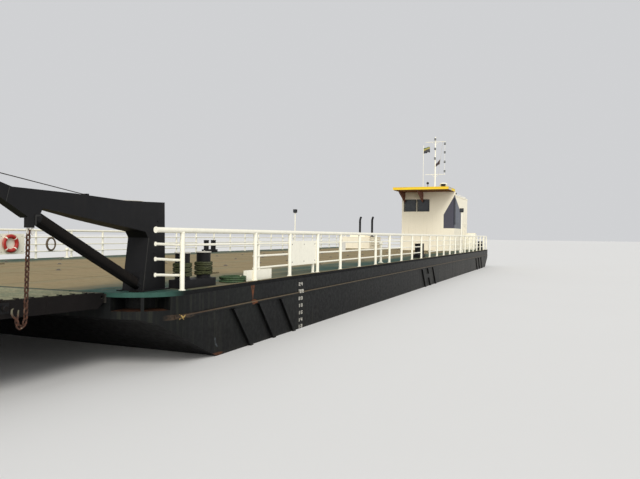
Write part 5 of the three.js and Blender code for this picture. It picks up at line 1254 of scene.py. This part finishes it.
def make_lamps(name, node, x, y, heights, low, high, brackets=()):
    """A column of lamps: each is a black base and cap about a ribbed lens."""
    column = Piece().post(x, y, low, high, 0.0105, 10, 2)
    r, h = LAMP["radius"], LAMP["half"]
    base = [(0.05, -h), (r, 0.008 - h), (r, 0.05 - h), (r - 0.02, 0.058 - h)]
    cap = [(r - 0.02, h - 0.062), (r, h - 0.055), (r, h - 0.03), (0.05, h - 0.006), (0.02, h)]
    ribs = [(r - (0.018 if k % 2 else 0.012), 0.055 - h + 0.008 * k) for k in range(8)]
    lens = [(r - 0.026, 0.05 - h), *ribs, (r - 0.026, h - 0.055)]
    for height in heights:
        for profile, number in ((base, 0), (cap, 0), (lens, 1)):
            column.lathe(profile, (x, y, height), 24, number)
    for height in brackets:
        column.box(0.035 - MAST["station"], x, y - 0.02, y + 0.02, height - 0.014, height + 0.014, 2)
    column.make(name, "lamp_black", [node], paint=["lamp_black", LENS, "rail_white"], body="folding_mast")


def make_radar():
    x, y, low = -34.8, 4.8, 4.992
    radar = Piece()
    radar.lathe([(0.195, 0), (0.198, 0.02), (0.17, 0.06), (0.155, 0.13), (0.16, 0.16), (0.22, 0.185)],
        (x, y, low), 40, 1)
    dome = [(0.22, 0.183), (0.282, 0.195), (0.298, 0.225), (0.3, 0.3), (0.294, 0.34), (0.262, 0.385), (0.2, 0.42),
        (0.12, 0.435), (0.04, 0.439)]
    radar.lathe(dome, (x, y, low), 48, 0)
    radar.lathe([(0.299, 0.246), (0.3025, 0.25), (0.3025, 0.262), (0.299, 0.266)], (x, y, low), 48, 1)
    radar.make("radar_scanner", "rail_white", ["radar_dome"], paint=["rail_white", "lamp_black"])
    fittings = Piece().box(-34.52, -34.28, 4.72, 5.02, 4.99, 5.29)
    fittings.box(-34.56, -34.24, 4.68, 5.06, 5.28, 5.305)
    post = (-33.6, 3.82)
    fittings.lathe([(0.07, 0), (0.07, 0.012), (0.022, 0.02), (0.022, 0.27)], (*post, 4.99), 20)
    fittings.lathe([(0.03, -0.09), (0.075, -0.06), (0.09, 0.03), (0.098, 0.06), (0.098, 0.09)], (*post, 5.31), 24,
        axis="x")
    fittings.make("canopy_fittings", "lamp_black", bevel=0.006)


# Flags: cloth grids held at one edge, with ripples that grow towards the free end
def cloth(name, body, node, corners, steps, ripple, waves, material):
    """corners are (y, height) of the hoist's foot and head and the fly's head and foot."""
    nu, nv = steps
    foot, head, fly_head, fly_foot = corners
    verts = []
    for u in (i / nu for i in range(nu + 1)):
        grow = min(1.0, 1.6 * u)
        low, high = ([a + (b - a) * u for a, b in zip(*edge)] for edge in ((foot, fly_foot), (head, fly_head)))
        for v in (j / nv for j in range(nv + 1)):
            y, z = (a + (b - a) * v for a, b in zip(low, high))
            sway = ripple * grow * sin(waves * u * tau + 0.9 * v)
            sag = 0.03 * sin(waves * u * tau * 0.9) * (1 - 0.4 * v) * grow
            verts.append((sway - MAST["station"], y, z + sag))
    firsts = [i * (nv + 1) + j for i in range(nu) for j in range(nv)]
    sheet = Piece().add(verts, [(a, a + nv + 1, a + nv + 2, a + 1) for a in firsts])
    flag = sheet.make(name, "flag_cloth", [node], paint=material, body=body, angle=180)


def make_flags():
    x, y, foot = -MAST["station"], 2.28, 4.552
    staff = Piece().post(x, y, foot, 9.03, 0.019, 14)
    staff.lathe([(0.068, 0), (0.068, 0.03), (0.022, 0.046)], (x, y, foot), 24)
    staff.lathe([(0.018, 0), (0.03, 0.008), (0.03, 0.02), (0.012, 0.034)], (x, y, 9.012), 16)
    for height in (8.36, 8.58, 8.78):
        staff.collar(0.019, 0.025, 0.01, 0.006, (x, y, height), 14)
    staff.make("staff_pole", "rail_white", ["flag_staff"])
    corners = ((2.303, 8.32), (2.303, 8.8), (2.845, 8.93), (2.85, 8.45))
    cloth("staff_ensign", "barge", "staff_flag", corners, (40, 14), 0.009, 2.0, "flag_cloth")
    x += 0.03
    line = Piece().tube([(x, 3.95, 9.34), (x, 3.775, 7.9), (x, 3.6, 6.46)], 0.006, 8)
    for y, height in ((3.775, 7.85), (3.72, 7.42)):
        line.collar(0.006, 0.014, 0.02, 0.012, (x, y, height), 10)
    line.make("pennant_halyard", "mooring_rope", paint=TWINE, body="folding_mast")
    corners = ((3.7, 7.36), (3.768, 7.82), (3.33, 7.36), (3.245, 7.12))
    cloth("mast_cloth", "folding_mast", "mast_pennant", corners, (28, 12), 0.008, 1.4, DARK_PENNANT)


make_mast()
make_lamps("masthead_lamps", "masthead_lights", 0.155 - MAST["station"], 3.32, (9.51, 8.7, 7.87), 7.7, 9.65,
    (7.7, 9.65))
make_lamps("yard_lamps", "yard_lights", -MAST["station"], 4.13, (9.12, 8.38, 7.57, 6.76), 6.523, 9.277)
make_radar()
make_flags()


# Quarter deck: casing, exhausts, locker and balcony
def make_casing_fittings():
    x0, x1, y0, y1, high = -41.6, -38.2, -5.0, -2.4, 1.05
    trim = Piece()
    for z0, z1 in ((0.001, 0.06), (1.001, 1.03)):
        for a, b in ((y0 - 0.012, y0 + 0.01), (y1 - 0.01, y1 + 0.012)):
            trim.box(x0 - 0.012, x1 + 0.012, a, b, z0, z1)
        for a, b in ((x0 - 0.012, x0 + 0.01), (x1 - 0.01, x1 + 0.012)):
            trim.box(a, b, y0, y1, z0, z1)
    for low in (0.3 + 0.15 * k for k in range(4)):
        for y, lip in ((y0, y0 - 0.045), (y1, y1 + 0.045)):
            louvre = [(y, low + 0.06), (lip, low), (lip, low + 0.008), (y, low + 0.07)]
            trim.slab(louvre, x0 + 0.4, x1 - 0.4, "yz")
    trim.make("casing_trim", "house_cream", bevel=0.003)
    hatch = Piece().box(x0 + 0.25, x0 + 1.05, -4.2, -3.2, high, high + 0.07)
    hatch.box(x0 + 0.22, x0 + 1.08, -4.23, -3.17, high + 0.06, high + 0.085)
    hinge, handle = x0 + 0.2, x0 + 1.1
    for y in (-4.0, -3.4):
        hatch.tube([(hinge, y - 0.05, high + 0.07), (hinge, y + 0.05, high + 0.07)], 0.022, 12)
        hatch.post(handle, y, high + 0.01, high + 0.13, 0.014, 10)
        hatch.tube([(handle, y - 0.06, high + 0.125), (handle, y + 0.06, high + 0.125)], 0.012, 10)
    hatch.make("casing_hatch", "house_cream", bevel=0.006)


def make_exhaust():
    x = -41.1
    pipes = Piece().box(x - 0.158, x + 0.158, -4.498, -2.902, 1.052, 1.108)
    for y in (-4.3, -3.1):
        bend = [(x, y, 1.09), (x, y, 2.55), (x - 0.03, y, 2.66), (x - 0.1, y, 2.755), (x - 0.19, y, 2.84),
            (x - 0.25, y, 2.893)]
        pipes.tube(bend, 0.098, 28)
        for height in (1.12, 1.5, 2.4):
            pipes.collar(0.099, 0.106, 0.012, 0.008, (x, y, height), 28)
        pipes.tube([(x - 0.248, y, 2.891), (x - 0.252, y, 2.8945)], 0.085, 24, 1)
    pipes.make("exhaust_stacks", "arm_paint", ["exhaust_pipes"], paint=["arm_paint", RUBBER], bevel=0.004)


def make_quarter_fittings():
    locker = Piece()
    x0, x1 = -43.4, -42.6
    for low, high in ((0.12, 0.7), (0.78, 1.34)):
        locker.box(x1 - 0.002, x1 + 0.01, 5.42, 6.13, low, high)
    for height in (0.42, 1.06):
        handle = ((0.008, -0.06), (0.028, -0.04), (0.028, 0.04), (0.008, 0.06))
        locker.tube([(x1 + dx, 5.52, height + dz) for dx, dz in handle], 0.008, 8)
    lid = [(x0 - 0.012, 1.42), (x1 + 0.015, 1.5), (x1 + 0.015, 1.512), (x0 - 0.012, 1.432)]
    locker.slab(lid, 5.338, 6.212)
    locker.make("locker_doors", "rail_white", bevel=0.003)
    wall = -HOUSE["aft"]
    edge, y0, y1 = wall - 1.0, 3.2, 5.2
    post, fore, aft, foot = edge + 0.06, 3.25, 5.15, 3.15
    stairs = Piece().box(edge, wall - 0.001, y0, y1, 2.342, 2.398)
    for y in (y0 + 0.2 + 0.2 * k for k in range(9)):
        stairs.box(edge + 0.03, wall - 0.03, y - 0.01, y + 0.01, 2.398, 2.404)
    for y in (fore, aft):
        stairs.post(post, y, 0.004, 3.36, 0.034, 14)
        stairs.lathe([(0.07, 0), (0.07, 0.01), (0.036, 0.02)], (post, y, 0.002), 16)
    for z, radius in ((3.35, 0.025), (2.85, 0.02)):
        stairs.tube([(post, fore, z), (post, aft, z), (post + 0.002, aft, z), (wall - 0.004, aft, z)], radius, 12)
    for x in (edge + 0.25, edge + 0.75):
        stairs.tube([(x, foot, 0.004), (x, foot, 3.3), (x, foot + 0.02, 3.34)], 0.024, 14)
        stairs.tube([(x, foot, 2.37), (x, fore, 2.37)], 0.02, 10)
    for z in (0.25 + 0.28 * k for k in range(8)):
        stairs.tube([(edge + 0.25, foot, z), (edge + 0.75, foot, z)], 0.0155, 12)
    stairs.make("balcony_and_ladder", "rail_white", ["balcony_ladder"], bevel=0.002)


# Propellers: twisted blades with round tips
def make_propeller(side_name, side):
    x, y, z = -41.1, side * 3.4, -2.06
    hub = [(0.02, -0.238), (0.045, -0.225), (0.075, -0.19), (0.096, -0.145), (0.1, -0.13), (0.1, -0.02),
        (0.094, 0.06), (0.082, 0.118)]
    wheel = Piece().lathe(hub, (x, y, z), 36, axis="x")
    root, tip, steps, n = 0.06, 0.512, 12, 9
    block = (steps + 1) * n

    def blade_corner(turn, face, share, c):
        """A corner of a blade: face is its side, share goes from root to tip and c across its width."""
        chord = 0.19 * sin(pi * min(1, 0.18 + 0.78 * share)) ** 0.6 + 0.004
        pitch = side * (radians(62) - radians(34) * share)
        deep = face * (0.022 * (1 - share) + 0.006) * sqrt(max(0.02, 1 - c * c)) / 2
        ahead = c * chord * sin(pitch) + deep * cos(pitch)
        around, r = c * chord * cos(pitch) - deep * sin(pitch), root + (tip - root) * share
        return x - 0.01 + ahead, y + r * cos(turn) - around * sin(turn), z + r * sin(turn) + around * cos(turn)

    faces = []
    for i in range(steps):
        for a in range(i * n, i * n + n - 1):
            faces.append((a, a + n, a + n + 1, a + 1))
            faces.append((block + a, block + a + 1, block + a + n + 1, block + a + n))
        for a, way in ((i * n, 1), (i * n + n - 1, -1)):
            faces.append((a, block + a, block + a + n, a + n)[::way])
    for i, way in ((0, -1), (steps, 1)):
        for a in range(i * n, i * n + n - 1):
            faces.append((a, block + a, block + a + 1, a + 1)[::way])
    for k in range(4):
        turn = tau * k / 4 + pi / 4
        wheel.add([blade_corner(turn, face, i / steps, -1 + 2 * j / (n - 1))
            for face in (1, -1) for i in range(steps + 1) for j in range(n)], faces)
    wheel.make("screw_" + side_name, "bronze", ["propeller_" + side_name], body="propeller_shaft_" + side_name,
        angle=50)


make_casing_fittings()
make_exhaust()
make_quarter_fittings()
for side_name, side in SIDES:
    make_propeller(side_name, side)


# Stage: a pale floor at the waterline and soft light
def make_stage():
    bpy.context.scene.view_settings.view_transform = "Standard"
    mesh = bpy.data.meshes.new("floor")
    reach, z = 300.0, moved((0, 0, WATERLINE))[2] * HALF
    corners = [(-reach, -reach, z), (reach, -reach, z), (reach, reach, z), (-reach, reach, z)]
    mesh.from_pydata(corners, [], [(0, 1, 2, 3)])
    floor = bpy.data.objects.new("floor", mesh)
    bpy.context.scene.collection.objects.link(floor)
    g = Graph("floor")
    mesh.materials.append(g.finish(g.mix(g.noise(0.4), (0.7, 0.7, 0.69), (0.72, 0.72, 0.71)), 0.9))
    world = bpy.data.worlds.new("world")
    bpy.context.scene.world = world
    world.use_nodes = True
    back = world.node_tree.nodes["Background"]
    back.inputs["Color"].default_value = (0.93, 0.94, 0.96, 1)
    back.inputs["Strength"].default_value = 0.68
    for name, toward, energy, spread in (("key", (0.6, 0.42, 0.68), 1.45, 25),
            ("fill", (0.86, 0.36, 0.3), 0.95, 45)):
        data = bpy.data.lights.new(name, "SUN")
        data.energy = energy
        data.angle = radians(spread)
        data.color = (1.0, 0.97, 0.92)
        light = bpy.data.objects.new(name, data)
        light.rotation_euler = Vector(toward).to_track_quat("Z", "Y").to_euler()
        bpy.context.scene.collection.objects.link(light)


make_stage()
